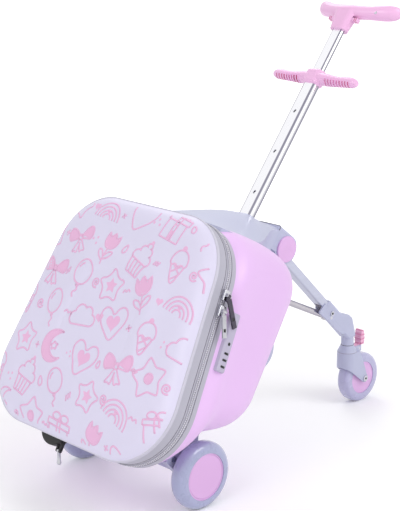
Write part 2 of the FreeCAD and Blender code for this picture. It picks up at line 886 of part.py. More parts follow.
def grip_handle():
    wires = []
    for place_share, size_share in grip_shares:
        centre = grip_centre(place_share)
        radius = grip_radius * size_share
        wires.append(Part.Wire([Part.Circle(centre, Vector(0, 1, 0), radius).toShape()]))
    grip = Part.makeLoft(wires, True, False)
    levels = (
        (grip_neck_bottom, grip_neck_half_width, grip_neck_half_depth),
        (grip_height, grip_neck_top_half_width, grip_neck_top_half_depth),
    )
    neck_wires = []
    for height, half_width, half_depth in levels:
        slab = stadium(half_width, half_depth, height, height + overrun, rod_depth)
        base = [face for face in slab.Faces if face.BoundBox.ZMax < height + overrun / 2]
        neck_wires.append(base[0].OuterWire)
    grip = grip.fuse(Part.makeLoft(neck_wires, True, True))
    shaft_foot = grip_neck_bottom - overrun
    shaft = stadium(upper_half_width, upper_half_depth, shaft_foot, trigger_bottom, rod_depth)
    pocket = box(rod_depth - trigger_half_depth - running_gap, rod_depth + trigger_half_depth + running_gap,
                 -trigger_half_width - running_gap, trigger_half_width + running_gap,
                 trigger_bottom, trigger_bottom + trigger_height + trigger_travel + running_gap)
    grip = grip.cut(shaft).cut(pocket)
    return grip.cut(handle_screw())


def handle_screw():
    centre = grip_centre(-handle_screw_reach / grip_half_length)
    height = centre.z - handle_screw_drop
    low = centre.x - math.sqrt(grip_radius ** 2 - handle_screw_drop ** 2)
    return rod_x(centre.y, height, handle_screw_radius, low, low + handle_screw_height * 2)


upper_top = trigger_bottom
upper_tube = stadium(upper_half_width, upper_half_depth, upper_bottom, upper_top, rod_depth)
upper_bore = stadium(upper_half_width - upper_wall, upper_half_depth - upper_wall, upper_bottom - overrun,
                     upper_top + overrun, rod_depth)
put_rod("upper_tube", upper_tube.cut(upper_bore))
put_rod("upper_tube_plug", stadium(lower_half_width - lower_wall - running_gap,
                                    lower_half_depth - lower_wall - running_gap,
                                    upper_bottom - plug_height, upper_bottom, rod_depth))
put_rod("grip_handle", grip_handle())
put_rod("handle_screw", handle_screw())
trigger = box(rod_depth - trigger_half_depth, rod_depth + trigger_half_depth, -trigger_half_width,
              trigger_half_width, trigger_bottom + running_gap, trigger_bottom + trigger_height)
put_rod("release_trigger", trigger)


# Fold-out arm, in its own frame: x from the hinge along the arm, z outwards

def arm_tube():
    corners = [
        Vector(0, -arm_half_width, -arm_half_depth),
        Vector(0, arm_half_width, -arm_half_depth),
        Vector(0, arm_half_width, arm_half_depth),
        Vector(0, -arm_half_width, arm_half_depth),
    ]
    radii = [arm_corner] * len(corners)
    tube = prism(rounded_wire(corners, radii), Vector(arm_end, 0, 0))
    tube = tube.fuse(rod_y(0, 0, arm_half_depth, -arm_half_width, arm_half_width))
    hollow = box(arm_half_depth, arm_end + overrun, -arm_half_width + arm_wall, arm_half_width - arm_wall,
                 -arm_half_depth + arm_wall, arm_half_depth - arm_wall)
    slot_foot = -arm_half_depth - overrun
    slot = box(arm_slot_start, arm_end + overrun, -stay_slot_half, stay_slot_half, slot_foot, 0)
    bore = rod_y(0, 0, hinge_pin_radius + shaft_gap, -arm_half_width, arm_half_width)
    return tube.cut(hollow).cut(slot).cut(bore).removeSplitter()


def knuckle():
    to_row = case_place.multiply(arm_place)
    low = to_row.multVec(Vector(knuckle_start, 0, -knuckle_half_depth))
    high = to_row.multVec(Vector(knuckle_start, 0, knuckle_half_depth))
    shoulder = to_row.multVec(Vector(knuckle_shoulder_reach, 0, knuckle_half_depth))
    chin = to_row.multVec(Vector(knuckle_chin_reach, 0, -knuckle_half_depth))
    corners = [
        low,
        high,
        shoulder,
        Vector(swivel_x - crown_back, 0, crown_height),
        Vector(swivel_x, 0, crown_front_height),
        Vector(swivel_x + neck_radius, 0, chin.z),
        chin,
    ]
    for corner in corners:
        corner.y = -knuckle_half_width
    radii = [knuckle_round] * 2 + [knuckle_half_depth] + [knuckle_round] * (len(corners) - 3)
    block = prism(rounded_wire(corners, radii), Vector(0, 2 * knuckle_half_width, 0))
    rims = [edge for edge in block.Edges if edge.BoundBox.YLength < running_gap]
    block = block.makeFillet(knuckle_round - running_gap, rims)
    foot = swivel_height + running_gap
    return block.fuse(rod_z(swivel_x, 0, neck_radius, foot, foot + neck_rise))


def knuckle_cuts():
    to_row = case_place.multiply(arm_place)
    start = knuckle_start - overrun
    hollow = box(start, arm_end, -arm_half_width, arm_half_width, -arm_half_depth, arm_half_depth)
    slot = box(start, stay_pivot_reach + stay_eye_radius + running_gap, -stay_slot_half, stay_slot_half,
               -knuckle_half_depth - overrun, -stay_pivot_drop + stay_eye_radius + running_gap)
    pin = rod_y(stay_pivot_reach, -stay_pivot_drop, stay_pin_radius,
                -knuckle_half_width, knuckle_half_width)
    cuts = [moved(cut, to_row) for cut in (hollow, slot, pin)]
    cuts.append(rod_z(swivel_x, 0, bush_radius, swivel_height, swivel_height + running_gap + bush_length))
    return cuts


def knuckle_screws():
    screws = []
    for hand in (-1, 1):
        face = hand * knuckle_half_width
        tip = face + hand * knuckle_screw_head
        screws.append(rod_y(knuckle_screw_reach, -knuckle_screw_drop, knuckle_screw_radius,
                            min(face, tip), max(face, tip)))
    return Part.Compound(screws)


knuckle_solid = knuckle()
for cut in knuckle_cuts():
    knuckle_solid = knuckle_solid.cut(cut)
knuckle_solid = knuckle_solid.cut(moved(knuckle_screws(), case_place.multiply(arm_place)))
put_arm("arm_tube", arm_tube())
nodes["knuckle"] = knuckle_solid
put_arm("knuckle_screws", knuckle_screws())
put_arm("stay_pivot_pin", rod_y(stay_pivot_reach, -stay_pivot_drop, stay_pin_radius, -knuckle_half_width,
                                knuckle_half_width))
bush_foot = swivel_height + running_gap
bush = rod_z(swivel_x, 0, bush_radius, bush_foot, bush_foot + bush_length)
kingpin_top = swivel_height + bush_length
bush_bore = rod_z(swivel_x, 0, kingpin_radius + shaft_gap, swivel_height, kingpin_top + overrun)
nodes["swivel_bush"] = bush.cut(bush_bore)


# Stay, in its own frame: x from the knuckle pivot to the cross pin

stay_place = arm_place.multiply(
    Placement(Vector(stay_pivot_reach, 0, -stay_pivot_drop), Rotation(Vector(0, 1, 0), 180 - stay_spread)))
stay = rod_x(0, 0, stay_radius, stay_pin_radius, stay_length)
for reach, bore in ((0, stay_pin_radius + shaft_gap), (stay_length, guide_pin_radius)):
    stay = stay.fuse(rod_y(reach, 0, stay_eye_radius, -stay_eye_half, stay_eye_half))
    stay = stay.cut(rod_y(reach, 0, bore, -stay_eye_half, stay_eye_half))
put_case("stay_tube", moved(stay, stay_place))
cheek_outer = cheek_inner + cheek_thickness
cross_pin = rod_y(stay_length, 0, guide_pin_radius, -cheek_outer, cheek_outer)
put_case("stay_cross_pin", moved(cross_pin, stay_place))


# Front caster: fork, kingpin, axle and wheel, upright under the swivel

def caster_fork():
    tip_x = caster_x
    tip_z = caster_radius
    outline = [
        (swivel_x - fork_half_width, fork_shoulder),
        (swivel_x - fork_half_width, fork_hem),
        (swivel_x - fork_knee_back, fork_knee),
        (tip_x - fork_tip_radius * math.sin(lean), tip_z - fork_tip_radius * math.cos(lean)),
        (tip_x + fork_tip_radius, tip_z),
        (swivel_x + fork_brow, fork_brow_height),
        (swivel_x + fork_front, fork_shoulder),
    ]
    fork = polygon_y(outline, -fork_half_width, fork_half_width)
    plan = rod_z(swivel_x, 0, fork_half_width, 0, swivel_height)
    far_x = tip_x + fork_tip_radius * 2
    plan = plan.fuse(box(swivel_x, far_x, -fork_half_width, fork_half_width, 0, swivel_height))
    fork = fork.common(plan)
    fork = fork.fuse(rod_y(tip_x, tip_z, fork_tip_radius, -fork_half_width, fork_half_width))
    fork = fork.fuse(Part.makeCone(fork_half_width, fork_crown_radius, swivel_height - fork_shoulder,
                                   Vector(swivel_x, 0, fork_shoulder)))
    fork = fork.fuse(box(swivel_x, swivel_x + lug_front, -lug_half, lug_half, lug_foot, lug_top))
    inner = caster_half_width + fork_side_gap
    fork = fork.cut(rod_y(tip_x, tip_z, caster_radius + caster_gap, -inner, inner))
    fork = fork.cut(rod_z(swivel_x, 0, kingpin_radius, kingpin_foot, swivel_height + overrun))
    fork = fork.cut(rod_y(tip_x, tip_z, caster_axle_radius, -fork_half_width, fork_half_width))
    pedal_room = box(swivel_x + fork_front + pedal_side_gap, swivel_x + lug_front + overrun,
                     -pedal_foot - pedal_side_gap, pedal_foot + pedal_side_gap, 0, lug_top + overrun)
    fork = fork.cut(pedal_room)
    pin = rod_y(swivel_x + pedal_pivot_reach, pedal_pivot_height, pedal_pin_radius, -lug_half, lug_half)
    return fork.cut(pin).removeSplitter()


def brake_pedal():
    x = swivel_x + pedal_reach
    pad = oval_wire(x, -pedal_half_width, pedal_height, pedal_half_depth, pedal_half_height)
    pad = prism(pad, Vector(0, 2 * pedal_half_width, 0))
    pad = pad.cut(box(x - pedal_reach, x + pedal_reach, -pedal_half_width, pedal_half_width,
                      0, lug_top + running_gap))
    for index in range(pedal_rib_count):
        height = pedal_height + (index - (pedal_rib_count - 1) / 2) * pedal_rib_pitch
        groove = oval_wire(x, -pedal_half_width, pedal_height, pedal_half_depth, pedal_half_height)
        core = oval_wire(x, -pedal_half_width, pedal_height, pedal_half_depth - pedal_rib_depth,
                         pedal_half_height - pedal_rib_depth)
        across = Vector(0, 2 * pedal_half_width, 0)
        skin = prism(groove, across).cut(prism(core, across))
        pad = pad.cut(skin.common(box(x - pedal_reach, x + pedal_reach, -pedal_half_width, pedal_half_width,
                                      height - pedal_rib_width / 2, height + pedal_rib_width / 2)))
    pivot_x = swivel_x + pedal_pivot_reach
    foot = rod_y(pivot_x, pedal_pivot_height, pedal_foot, -pedal_foot, pedal_foot)
    leg = [
        (pivot_x, pedal_pivot_height - pedal_pin_radius),
        (pivot_x + pedal_foot, pedal_pivot_height),
        (x + pedal_foot, lug_top + pedal_foot),
        (x - pedal_foot, lug_top + pedal_foot),
        (pivot_x - pedal_pin_radius, pedal_pivot_height + pedal_pin_radius),
    ]
    foot = foot.fuse(polygon_y(leg, -pedal_foot, pedal_foot))
    pedal = pad.fuse(foot)
    bore = rod_y(pivot_x, pedal_pivot_height, pedal_pin_radius + shaft_gap, -lug_half, lug_half)
    return pedal.cut(bore).removeSplitter()


nodes["caster_fork"] = caster_fork()
nodes["kingpin"] = rod_z(swivel_x, 0, kingpin_radius, kingpin_foot, kingpin_top)
screw_outer = fork_half_width + caster_screw_head
caster_axle = rod_y(caster_x, caster_radius, caster_axle_radius, -fork_half_width, fork_half_width)
for hand in (-1, 1):
    ends = sorted((hand * fork_half_width, hand * screw_outer))
    caster_axle = caster_axle.fuse(rod_y(caster_x, caster_radius, caster_screw_radius, ends[0], ends[1]))
nodes["caster_axle"] = caster_axle.removeSplitter()
pedal_x = swivel_x + pedal_pivot_reach
nodes["pedal_pin"] = rod_y(pedal_x, pedal_pivot_height, pedal_pin_radius, -lug_half, lug_half)
nodes["brake_pedal"] = brake_pedal()
nodes["caster_tyre"] = wheel_tyre(caster_x, caster_radius, 0, caster_radius, caster_hub_radius,
                                  caster_half_width, caster_round)
nodes["caster_hub"] = wheel_hub(caster_x, caster_radius, 0, caster_hub_radius, caster_half_width,
                                caster_axle_radius + shaft_gap)


# Zip sliders and pulls on the right-hand side, in the side frame: x inwards, y into the case, z up the edge

def zip_slider(place):
    skin = chain_lip + running_gap
    slider = box(-slider_half_width, slider_half_width, -skin - slider_thickness, -skin,
                 -slider_half_length, slider_half_length)
    slider = slider.makeFillet(slider_round, slider.Edges)
    pin_y = -skin - slider_thickness - pull_eye_radius
    near = pull_eye_half + running_gap
    for low, high in ((-pull_lug_half, -near), (near, pull_lug_half)):
        lug = box(low, high, pin_y, -skin - slider_thickness / 2, -pull_eye_radius, pull_eye_radius)
        lug = lug.fuse(rod_x(pin_y, 0, pull_eye_radius, low, high))
        slider = slider.fuse(lug)
    slider = slider.fuse(rod_x(pin_y, 0, pull_pin_radius, -pull_lug_half, pull_lug_half))
    return moved(slider.removeSplitter(), side_place(chain_front + chain_thickness / 2, place, -1))


def zip_pull(place, length, swing):
    skin = chain_lip + running_gap
    pin_y = -skin - slider_thickness - pull_eye_radius
    reach = length - pull_eye_radius
    plate = box(-pull_half_width, pull_half_width, -pull_thickness / 2, pull_thickness / 2,
                -length, -pull_eye_radius * 2)
    hole = -length * pull_hole_share
    plate = plate.cut(box(-pull_hole_half, pull_hole_half, -pull_thickness, pull_thickness,
                          hole - pull_hole_half, hole + pull_hole_half))
    plate = moved(plate, Placement(Vector(0, 0, 0), Rotation(Vector(0, 1, 0), -swing)))
    lift = math.degrees(math.asin((pull_rise + pin_y) / reach))
    neck = box(-pull_eye_half, pull_eye_half, -pull_thickness / 2, pull_thickness / 2,
               -pull_eye_radius * 3, 0)
    pull = plate.fuse(neck).fuse(rod_x(0, 0, pull_eye_radius, -pull_eye_half, pull_eye_half))
    pull = pull.cut(rod_x(0, 0, pull_pin_radius + shaft_gap, -pull_eye_half, pull_eye_half))
    hang = Placement(Vector(0, pin_y, 0), Rotation(Vector(1, 0, 0), -lift))
    return moved(moved(pull, hang), side_place(chain_front + chain_thickness / 2, place, -1))


put_case("zip_slider_upper", zip_slider(slider_upper_place))
put_case("zip_slider_lower", zip_slider(slider_lower_place))
put_case("zip_pull_upper", zip_pull(slider_upper_place, pull_upper_length, pull_upper_swing))
put_case("zip_pull_lower", zip_pull(slider_lower_place, pull_lower_length, pull_lower_swing))


# Side lock with its dials

lock = box(-lock_half_width, lock_half_width, -lock_thickness, lock_sink, 0, lock_length)
lock_rims = [edge for edge in lock.Edges if edge.BoundBox.YMin < -lock_thickness / 2]
lock = lock.makeFillet(lock_round, lock_rims)
for index, height in enumerate(dial_heights()):
    lock = lock.cut(dial_room(height).cut(rod_z(0, dial_y, dial_axle_radius, 0, lock_length)))
    dial = rod_z(0, dial_y, dial_radius, height - dial_half, height + dial_half)
    dial = dial.cut(rod_z(0, dial_y, dial_axle_radius + shaft_gap, 0, lock_length))
    put_case("lock_dial_%d" % (index + 1), moved(dial, lock_place))
put_case("lock_body", moved(lock, lock_place).cut(shell_outer))


# Zip end under the left-hand corner with its drop-shaped pull

end_depth = chain_front + chain_thickness / 2
end_point = face_point(end_depth, -chain_lip, end_slider_side)
end_place = Placement(end_point, Rotation(Vector(0, 1, 0), -wedge_angle))
end_left = Vector(-end_slider_half_width, -end_slider_half_length, 0)
end_right = Vector(-end_slider_half_width, end_slider_half_length, 0)
end_sag = Part.Arc(end_left, Vector(-end_slider_half_width, 0, -end_slider_thickness), end_right)
end_line = Part.LineSegment(end_right, end_left)
end_wire = Part.Wire([end_sag.toShape(), end_line.toShape()])
end_slider = prism(end_wire, Vector(2 * end_slider_half_width, 0, 0))
end_lower = [edge for edge in end_slider.Edges if edge.BoundBox.ZMin < -end_slider_thickness / 2]
end_slider = end_slider.makeFillet(slider_round * 2, end_lower)
end_slider = moved(end_slider, end_place)
drop_pin = face_point(end_depth, -chain_lip - end_slider_thickness - drop_pull_eye_radius,
                      end_slider_side - drop_pull_offset)
drop_row = case_place.multVec(drop_pin)
hang = Placement(drop_row, Rotation())
drop_bail = rod_y(0, 0, drop_pull_pin_radius, -drop_bail_half, drop_bail_half)
for hand in (-1, 1):
    ends = sorted((hand * (drop_pull_half + running_gap), hand * drop_bail_half))
    drop_bail = drop_bail.fuse(rod_y(0, 0, drop_pull_eye_radius, ends[0], ends[1]))
    stem = box(-drop_pull_eye_radius, drop_pull_eye_radius, ends[0], ends[1],
               0, drop_pull_eye_radius + end_slider_thickness)
    stem = moved(stem, Placement(Vector(0, 0, 0), Rotation(Vector(0, 1, 0), lean_angle - wedge_angle)))
    drop_bail = drop_bail.fuse(stem)
end_piece = moved(end_slider, case_place).fuse(moved(drop_bail, hang)).removeSplitter()
nodes["zip_end"] = end_piece.cut(nodes["zip_chain"])
drop = rod_y(0, 0, drop_pull_eye_radius, -drop_pull_half, drop_pull_half)
drop = drop.fuse(box(-drop_pull_half, drop_pull_half, -drop_pull_half, drop_pull_half,
                     -drop_pull_length + drop_pull_radius, -drop_pull_pin_radius))
drop_bulb = Part.makeCone(drop_pull_radius, drop_pull_half, drop_pull_length / 2,
                          Vector(0, 0, -drop_pull_length + drop_pull_radius))
drop_tip = Part.makeSphere(drop_pull_radius, Vector(0, 0, -drop_pull_length + drop_pull_radius))
drop = drop.fuse(drop_bulb).fuse(drop_tip)
drop = drop.cut(rod_y(0, 0, drop_pull_pin_radius + shaft_gap, -drop_pull_half, drop_pull_half))
nodes["drop_pull"] = moved(drop.removeSplitter(), hang)


# The row's origin is under the middle of the whole part
lows = [shape.optimalBoundingBox(False).XMin for shape in nodes.values()]
highs = [shape.optimalBoundingBox(False).XMax for shape in nodes.values()]
shift = Vector(-(min(lows) + max(highs)) / 2, 0, 0)
os.makedirs("parts", exist_ok=True)
for name, shape in nodes.items():
    placed = shape.copy()
    placed.translate(shift)
    placed.exportStep("parts/%s.step" % name)
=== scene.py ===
import math
import random

import bpy
from mathutils import Matrix, Vector


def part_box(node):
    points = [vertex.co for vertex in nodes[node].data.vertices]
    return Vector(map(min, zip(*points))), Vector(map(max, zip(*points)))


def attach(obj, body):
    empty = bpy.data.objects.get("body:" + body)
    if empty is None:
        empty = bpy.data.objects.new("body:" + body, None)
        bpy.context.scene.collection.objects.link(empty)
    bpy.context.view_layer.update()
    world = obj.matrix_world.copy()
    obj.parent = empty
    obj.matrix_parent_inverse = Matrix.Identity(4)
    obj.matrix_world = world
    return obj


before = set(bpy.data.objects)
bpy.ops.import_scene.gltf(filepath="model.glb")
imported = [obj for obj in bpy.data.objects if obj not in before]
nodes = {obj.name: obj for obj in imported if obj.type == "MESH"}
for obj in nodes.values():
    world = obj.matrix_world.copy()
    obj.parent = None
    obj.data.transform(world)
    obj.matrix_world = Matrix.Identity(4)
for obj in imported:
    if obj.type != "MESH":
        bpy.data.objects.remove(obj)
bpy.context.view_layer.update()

mm = 0.001


def centre_of(name):
    low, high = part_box(name)
    return (low + high) / 2


# The case's own frame, in which the pull rod stands upright: the pin of the arm's hinge gives its place
lean = math.radians(37.4)
hinge_in_case = Vector((181, 0, 362)) * mm
leaning = Matrix.Rotation(lean, 4, "Y")
case_frame = Matrix.Translation(centre_of("hinge_pin") - leaning @ hinge_in_case) @ leaning
sideways = Matrix.Rotation(math.pi / 2, 4, "X")

# The arm's frame, with x along the arm and z up from its middle
arm_drop = math.radians(6.8)
arm_frame = case_frame @ Matrix.Translation(hinge_in_case) @ Matrix.Rotation(arm_drop, 4, "Y")

# The printed face's frames: face_frame has x into the case, y to the left and z up the face,
# and lid_frame has x to the right, y up the face and z out of it
wedge = math.radians(7.4)
face_tilt = lean - wedge
face_frame = case_frame @ Matrix.Rotation(-wedge, 4, "Y")
lid_frame = face_frame @ Matrix(((0, 0, -1, 0), (-1, 0, 0, 0), (0, 1, 0, 0), (0, 0, 0, 1)))
face_height = 304 * mm
face_bottom_half = 168.5 * mm
face_top_half = 135 * mm
face_corner = 76 * mm
face_taper = math.atan2(face_bottom_half - face_top_half, face_height)
zip_depth = 22.0 * mm
zip_proud = 0.8 * mm


# A frame on the right side of the case: y points into the case and z up the tapered edge
def side_frame(depth, rise):
    side = face_bottom_half - math.tan(face_taper) * rise
    return face_frame @ Matrix.Translation((depth, -side, rise)) @ Matrix.Rotation(-face_taper, 4, "X")


# Colour and node helpers

def paint(red, green, blue):
    linear = [((part / 255 + 0.055) / 1.055) ** 2.4 for part in (red, green, blue)]
    return (*linear, 1.0)


def shaded(colour, share):
    return (*[part * share for part in colour[:3]], 1.0)


def add_node(tree, kind, **settings):
    node = tree.nodes.new(kind)
    for key, value in settings.items():
        if key in node.inputs:
            node.inputs[key].default_value = value
        else:
            setattr(node, key, value)
    return node


def start_finish(name, roughness, metallic=0.0, specular=0.5):
    material = bpy.data.materials.new(name)
    material.use_nodes = True
    tree = material.node_tree
    shader = tree.nodes["Principled BSDF"]
    shader.inputs["Roughness"].default_value = roughness
    shader.inputs["Metallic"].default_value = metallic
    shader.inputs["Specular IOR Level"].default_value = specular
    coords = add_node(tree, "ShaderNodeTexCoord")
    return material, tree, shader, coords.outputs["Object"]


def clear_coat(shader, weight, roughness):
    shader.inputs["Coat Weight"].default_value = weight
    shader.inputs["Coat Roughness"].default_value = roughness


def stretch(tree, place, turn, scale=(1.0, 1.0, 1.0)):
    mapping = add_node(tree, "ShaderNodeMapping", Rotation=turn, Scale=scale)
    tree.links.new(place, mapping.inputs["Vector"])
    return mapping.outputs["Vector"]


def noise(tree, place, scale, detail=2.0, rough=0.5):
    texture = add_node(tree, "ShaderNodeTexNoise", Scale=scale, Detail=detail, Roughness=rough)
    tree.links.new(place, texture.inputs["Vector"])
    return texture.outputs["Fac"]


# A wave texture of scale 1 turns by this many radians per metre
wave_turns = 20.0


def bands(tree, place, pitch, direction, distortion=0.0):
    scale = math.tau / wave_turns / pitch
    wave = add_node(tree, "ShaderNodeTexWave", Scale=scale, Distortion=distortion, bands_direction=direction)
    tree.links.new(place, wave.inputs["Vector"])
    return wave.outputs["Fac"]


def blend_colour(tree, shader, amount, first, second, low=0.3, high=0.7):
    ramp = add_node(tree, "ShaderNodeValToRGB")
    ramp.color_ramp.elements[0].position = low
    ramp.color_ramp.elements[0].color = first
    ramp.color_ramp.elements[1].position = high
    ramp.color_ramp.elements[1].color = second
    tree.links.new(amount, ramp.inputs["Fac"])
    tree.links.new(ramp.outputs["Color"], shader.inputs["Base Color"])


def remap(tree, value, start, end, low, high):
    spread = add_node(tree, "ShaderNodeMapRange")
    for key, number in (("From Min", start), ("From Max", end), ("To Min", low), ("To Max", high)):
        spread.inputs[key].default_value = number
    tree.links.new(value, spread.inputs["Value"])
    return spread


def ease(tree, value, start, end):
    spread = remap(tree, value, start, end, 0.0, 1.0)
    spread.interpolation_type = "SMOOTHSTEP"
    return spread.outputs["Result"]


def vary_roughness(tree, shader, amount, low, high):
    spread = remap(tree, amount, 0.0, 1.0, low, high)
    tree.links.new(spread.outputs["Result"], shader.inputs["Roughness"])


def emboss(tree, shader, height, strength, distance):
    bump = add_node(tree, "ShaderNodeBump", Strength=strength, Distance=distance)
    tree.links.new(height, bump.inputs["Height"])
    tree.links.new(bump.outputs["Normal"], shader.inputs["Normal"])


def maths(tree, operation, first, second=0.0):
    node = add_node(tree, "ShaderNodeMath", operation=operation)
    for entry, value in zip(node.inputs, (first, second)):
        if isinstance(value, (int, float)):
            entry.default_value = value
        else:
            tree.links.new(value, entry)
    return node.outputs["Value"]


# Turns and stretches of the finishes that follow the rod and the arm, and the rod's upright coordinates
rod_turn = (0.0, -lean, 0.0)
along_rod = (1.0, 1.0, 0.02)
along_arm = (0.02, 1.0, 1.0)
arm_turn = (0.0, lean + arm_drop, 0.0)
upright = leaning.to_3x3().inverted()
rod_place = (upright @ centre_of("lower_tube")).x


def upright_parts(tree, place):
    parts = add_node(tree, "ShaderNodeSeparateXYZ")
    tree.links.new(stretch(tree, place, rod_turn), parts.inputs["Vector"])
    return parts.outputs


def upright_foot(name):
    return min((upright @ vertex.co).z for vertex in nodes[name].data.vertices)


# Finishes

def moulded_plastic(name, colour, roughness, grain, depth, coat=0.0):
    material, tree, shader, place = start_finish(name, roughness)
    tint = noise(tree, place, scale=9.0)
    blend_colour(tree, shader, tint, shaded(colour, 0.965), shaded(colour, 1.02))
    fine = noise(tree, place, scale=grain)
    vary_roughness(tree, shader, fine, roughness - 0.05, roughness + 0.06)
    emboss(tree, shader, fine, strength=0.35, distance=depth)
    clear_coat(shader, coat, roughness=0.18)
    return material


def shell_skin(name, colour):
    material, tree, shader, place = start_finish(name, roughness=0.42)
    tint = noise(tree, place, scale=5.0)
    blend_colour(tree, shader, tint, shaded(colour, 0.97), shaded(colour, 1.015))
    pores = add_node(tree, "ShaderNodeTexVoronoi", Scale=620.0)
    tree.links.new(place, pores.inputs["Vector"])
    emboss(tree, shader, pores.outputs["Distance"], strength=0.12, distance=0.12 * mm)
    vary_roughness(tree, shader, tint, low=0.38, high=0.46)
    clear_coat(shader, weight=0.25, roughness=0.3)
    return material


def printed_film(name, colour):
    material, tree, shader, place = start_finish(name, roughness=0.5)
    tint = noise(tree, place, scale=7.0)
    blend_colour(tree, shader, tint, shaded(colour, 0.975), shaded(colour, 1.01))
    weave = noise(tree, place, scale=1400.0)
    emboss(tree, shader, weave, strength=0.3, distance=0.06 * mm)
    clear_coat(shader, weight=0.15, roughness=0.35)
    return material


def woven_tape(name, colour, pitch):
    material, tree, shader, place = start_finish(name, roughness=0.75)
    local = stretch(tree, place, (0.0, face_tilt, 0.0))
    warp = bands(tree, local, pitch, "X", distortion=0.6)
    weft = bands(tree, local, pitch, "Z", distortion=0.6)
    weave = maths(tree, "MULTIPLY", warp, weft)
    blend_colour(tree, shader, weave, shaded(colour, 0.93), shaded(colour, 1.03), low=0.0, high=0.8)
    emboss(tree, shader, weave, strength=0.4, distance=0.15 * mm)
    shader.inputs["Sheen Weight"].default_value = 0.15
    return material


def drawn_lines(tree, place, turn, stretch_by):
    return noise(tree, stretch(tree, place, turn, stretch_by), scale=420.0, detail=4.0, rough=0.6)


def drawn_metal(name, colour, roughness, turn, stretch_by):
    material, tree, shader, place = start_finish(name, roughness, metallic=1.0)
    lines = drawn_lines(tree, place, turn, stretch_by)
    blend_colour(tree, shader, lines, shaded(colour, 0.93), colour)
    vary_roughness(tree, shader, lines, roughness - 0.05, roughness + 0.09)
    emboss(tree, shader, lines, strength=0.12, distance=0.04 * mm)
    return material


# The pull rod's flat tubes are bright, with painted shade in a band along each rounded edge and painted shade
# on the back of each rounded side
def flat_tube_metal(name, colour, shade_colour, roughness, flat_half, half_depth):
    material, tree, shader, place = start_finish(name, roughness, metallic=1.0)
    parts = upright_parts(tree, place)
    reach = maths(tree, "ABSOLUTE", parts["Y"])
    # Painted shade in a band along each rounded edge
    groove_shade_middle = flat_half + half_depth * 0.5
    groove_shade_half = half_depth * 0.27
    from_groove_shade = maths(tree, "ABSOLUTE", maths(tree, "SUBTRACT", reach, groove_shade_middle))
    groove_shade = ease(tree, from_groove_shade, groove_shade_half, groove_shade_half * 0.4)
    # Painted shade on the back of each rounded side
    back_shade = ease(tree, parts["X"], rod_place - half_depth * 0.4, rod_place + half_depth * 0.2)
    rounded = maths(tree, "GREATER_THAN", reach, flat_half)
    painted_shade = maths(tree, "MAXIMUM", groove_shade, maths(tree, "MULTIPLY", rounded, back_shade))
    blend_colour(tree, shader, painted_shade, colour, shade_colour, low=0.0, high=1.0)
    lines = drawn_lines(tree, place, rod_turn, along_rod)
    vary_roughness(tree, shader, lines, roughness - 0.05, roughness + 0.09)
    emboss(tree, shader, lines, strength=0.1, distance=0.03 * mm)
    return material


def plated_metal(name, colour, roughness):
    material, tree, shader, place = start_finish(name, roughness, metallic=1.0)
    cloud = noise(tree, place, scale=160.0, detail=3.0)
    blend_colour(tree, shader, cloud, shaded(colour, 0.94), colour)
    vary_roughness(tree, shader, cloud, roughness - 0.03, roughness + 0.07)
    return material


def wheel_tread(name, colour, node_name):
    material, tree, shader, place = start_finish(name, roughness=0.4)
    mapping = add_node(tree, "ShaderNodeMapping", Location=-centre_of(node_name))
    tree.links.new(place, mapping.inputs["Vector"])
    rings = add_node(tree, "ShaderNodeTexWave", Scale=90.0, wave_type="RINGS", rings_direction="Y")
    tree.links.new(mapping.outputs["Vector"], rings.inputs["Vector"])
    dust = noise(tree, place, scale=60.0, detail=4.0)
    blend_colour(tree, shader, dust, shaded(colour, 0.985), shaded(colour, 1.01))
    vary_roughness(tree, shader, dust, low=0.22, high=0.34)
    emboss(tree, shader, rings.outputs["Fac"], strength=0.06, distance=0.1 * mm)
    clear_coat(shader, weight=1.0, roughness=0.05)
    return material


# Painted ribs: the darker band of each pitch is painted shade between the ribs, and a bump gives them relief
def ribbed_plastic(name, colour, rib_shade_colour, pitch):
    material, tree, shader, place = start_finish(name, roughness=0.42)
    ribs = bands(tree, place, pitch, "Z")
    blend_colour(tree, shader, ribs, rib_shade_colour, colour, low=0.1, high=0.5)
    emboss(tree, shader, ribs, strength=0.4, distance=0.5 * mm)
    return material


# Ribs with painted shade of the slots between them on either side of the rod, up to a height over the piece's
# foot
def slotted_plastic(name, node_name, start, pitch, rib, rib_count, height):
    material, tree, shader, place = start_finish(name, roughness=0.36)
    parts = upright_parts(tree, place)
    reach = maths(tree, "ABSOLUTE", parts["Y"])
    steps = maths(tree, "DIVIDE", maths(tree, "SUBTRACT", reach, start), pitch)
    between = maths(tree, "GREATER_THAN", maths(tree, "FRACT", steps), rib / pitch)
    past = maths(tree, "GREATER_THAN", steps)
    before = maths(tree, "LESS_THAN", steps, rib_count - 1 + rib / pitch)
    below = maths(tree, "LESS_THAN", parts["Z"], upright_foot(node_name) + height)
    in_row = maths(tree, "MULTIPLY", past, before)
    # The slots are painted shade between the ribs
    slots = maths(tree, "MULTIPLY", maths(tree, "MULTIPLY", between, in_row), below)
    blend_colour(tree, shader, slots, handle_pink, slot_shade_red, low=0.0, high=1.0)
    fine = noise(tree, place, scale=1000.0)
    vary_roughness(tree, shader, fine, low=0.31, high=0.42)
    emboss(tree, shader, fine, strength=0.35, distance=0.04 * mm)
    clear_coat(shader, weight=0.3, roughness=0.18)
    return material


handle_pink = paint(243, 190, 231)
# Painted shade of the slots between the ribs of the bar and the trigger
slot_shade_red = paint(206, 104, 148)
tube_bright = paint(248, 248, 252)
tube_shade = paint(142, 140, 156)
rough_grain = 0.06 * mm
plain_grain = 0.05 * mm
smooth_grain = 0.04 * mm

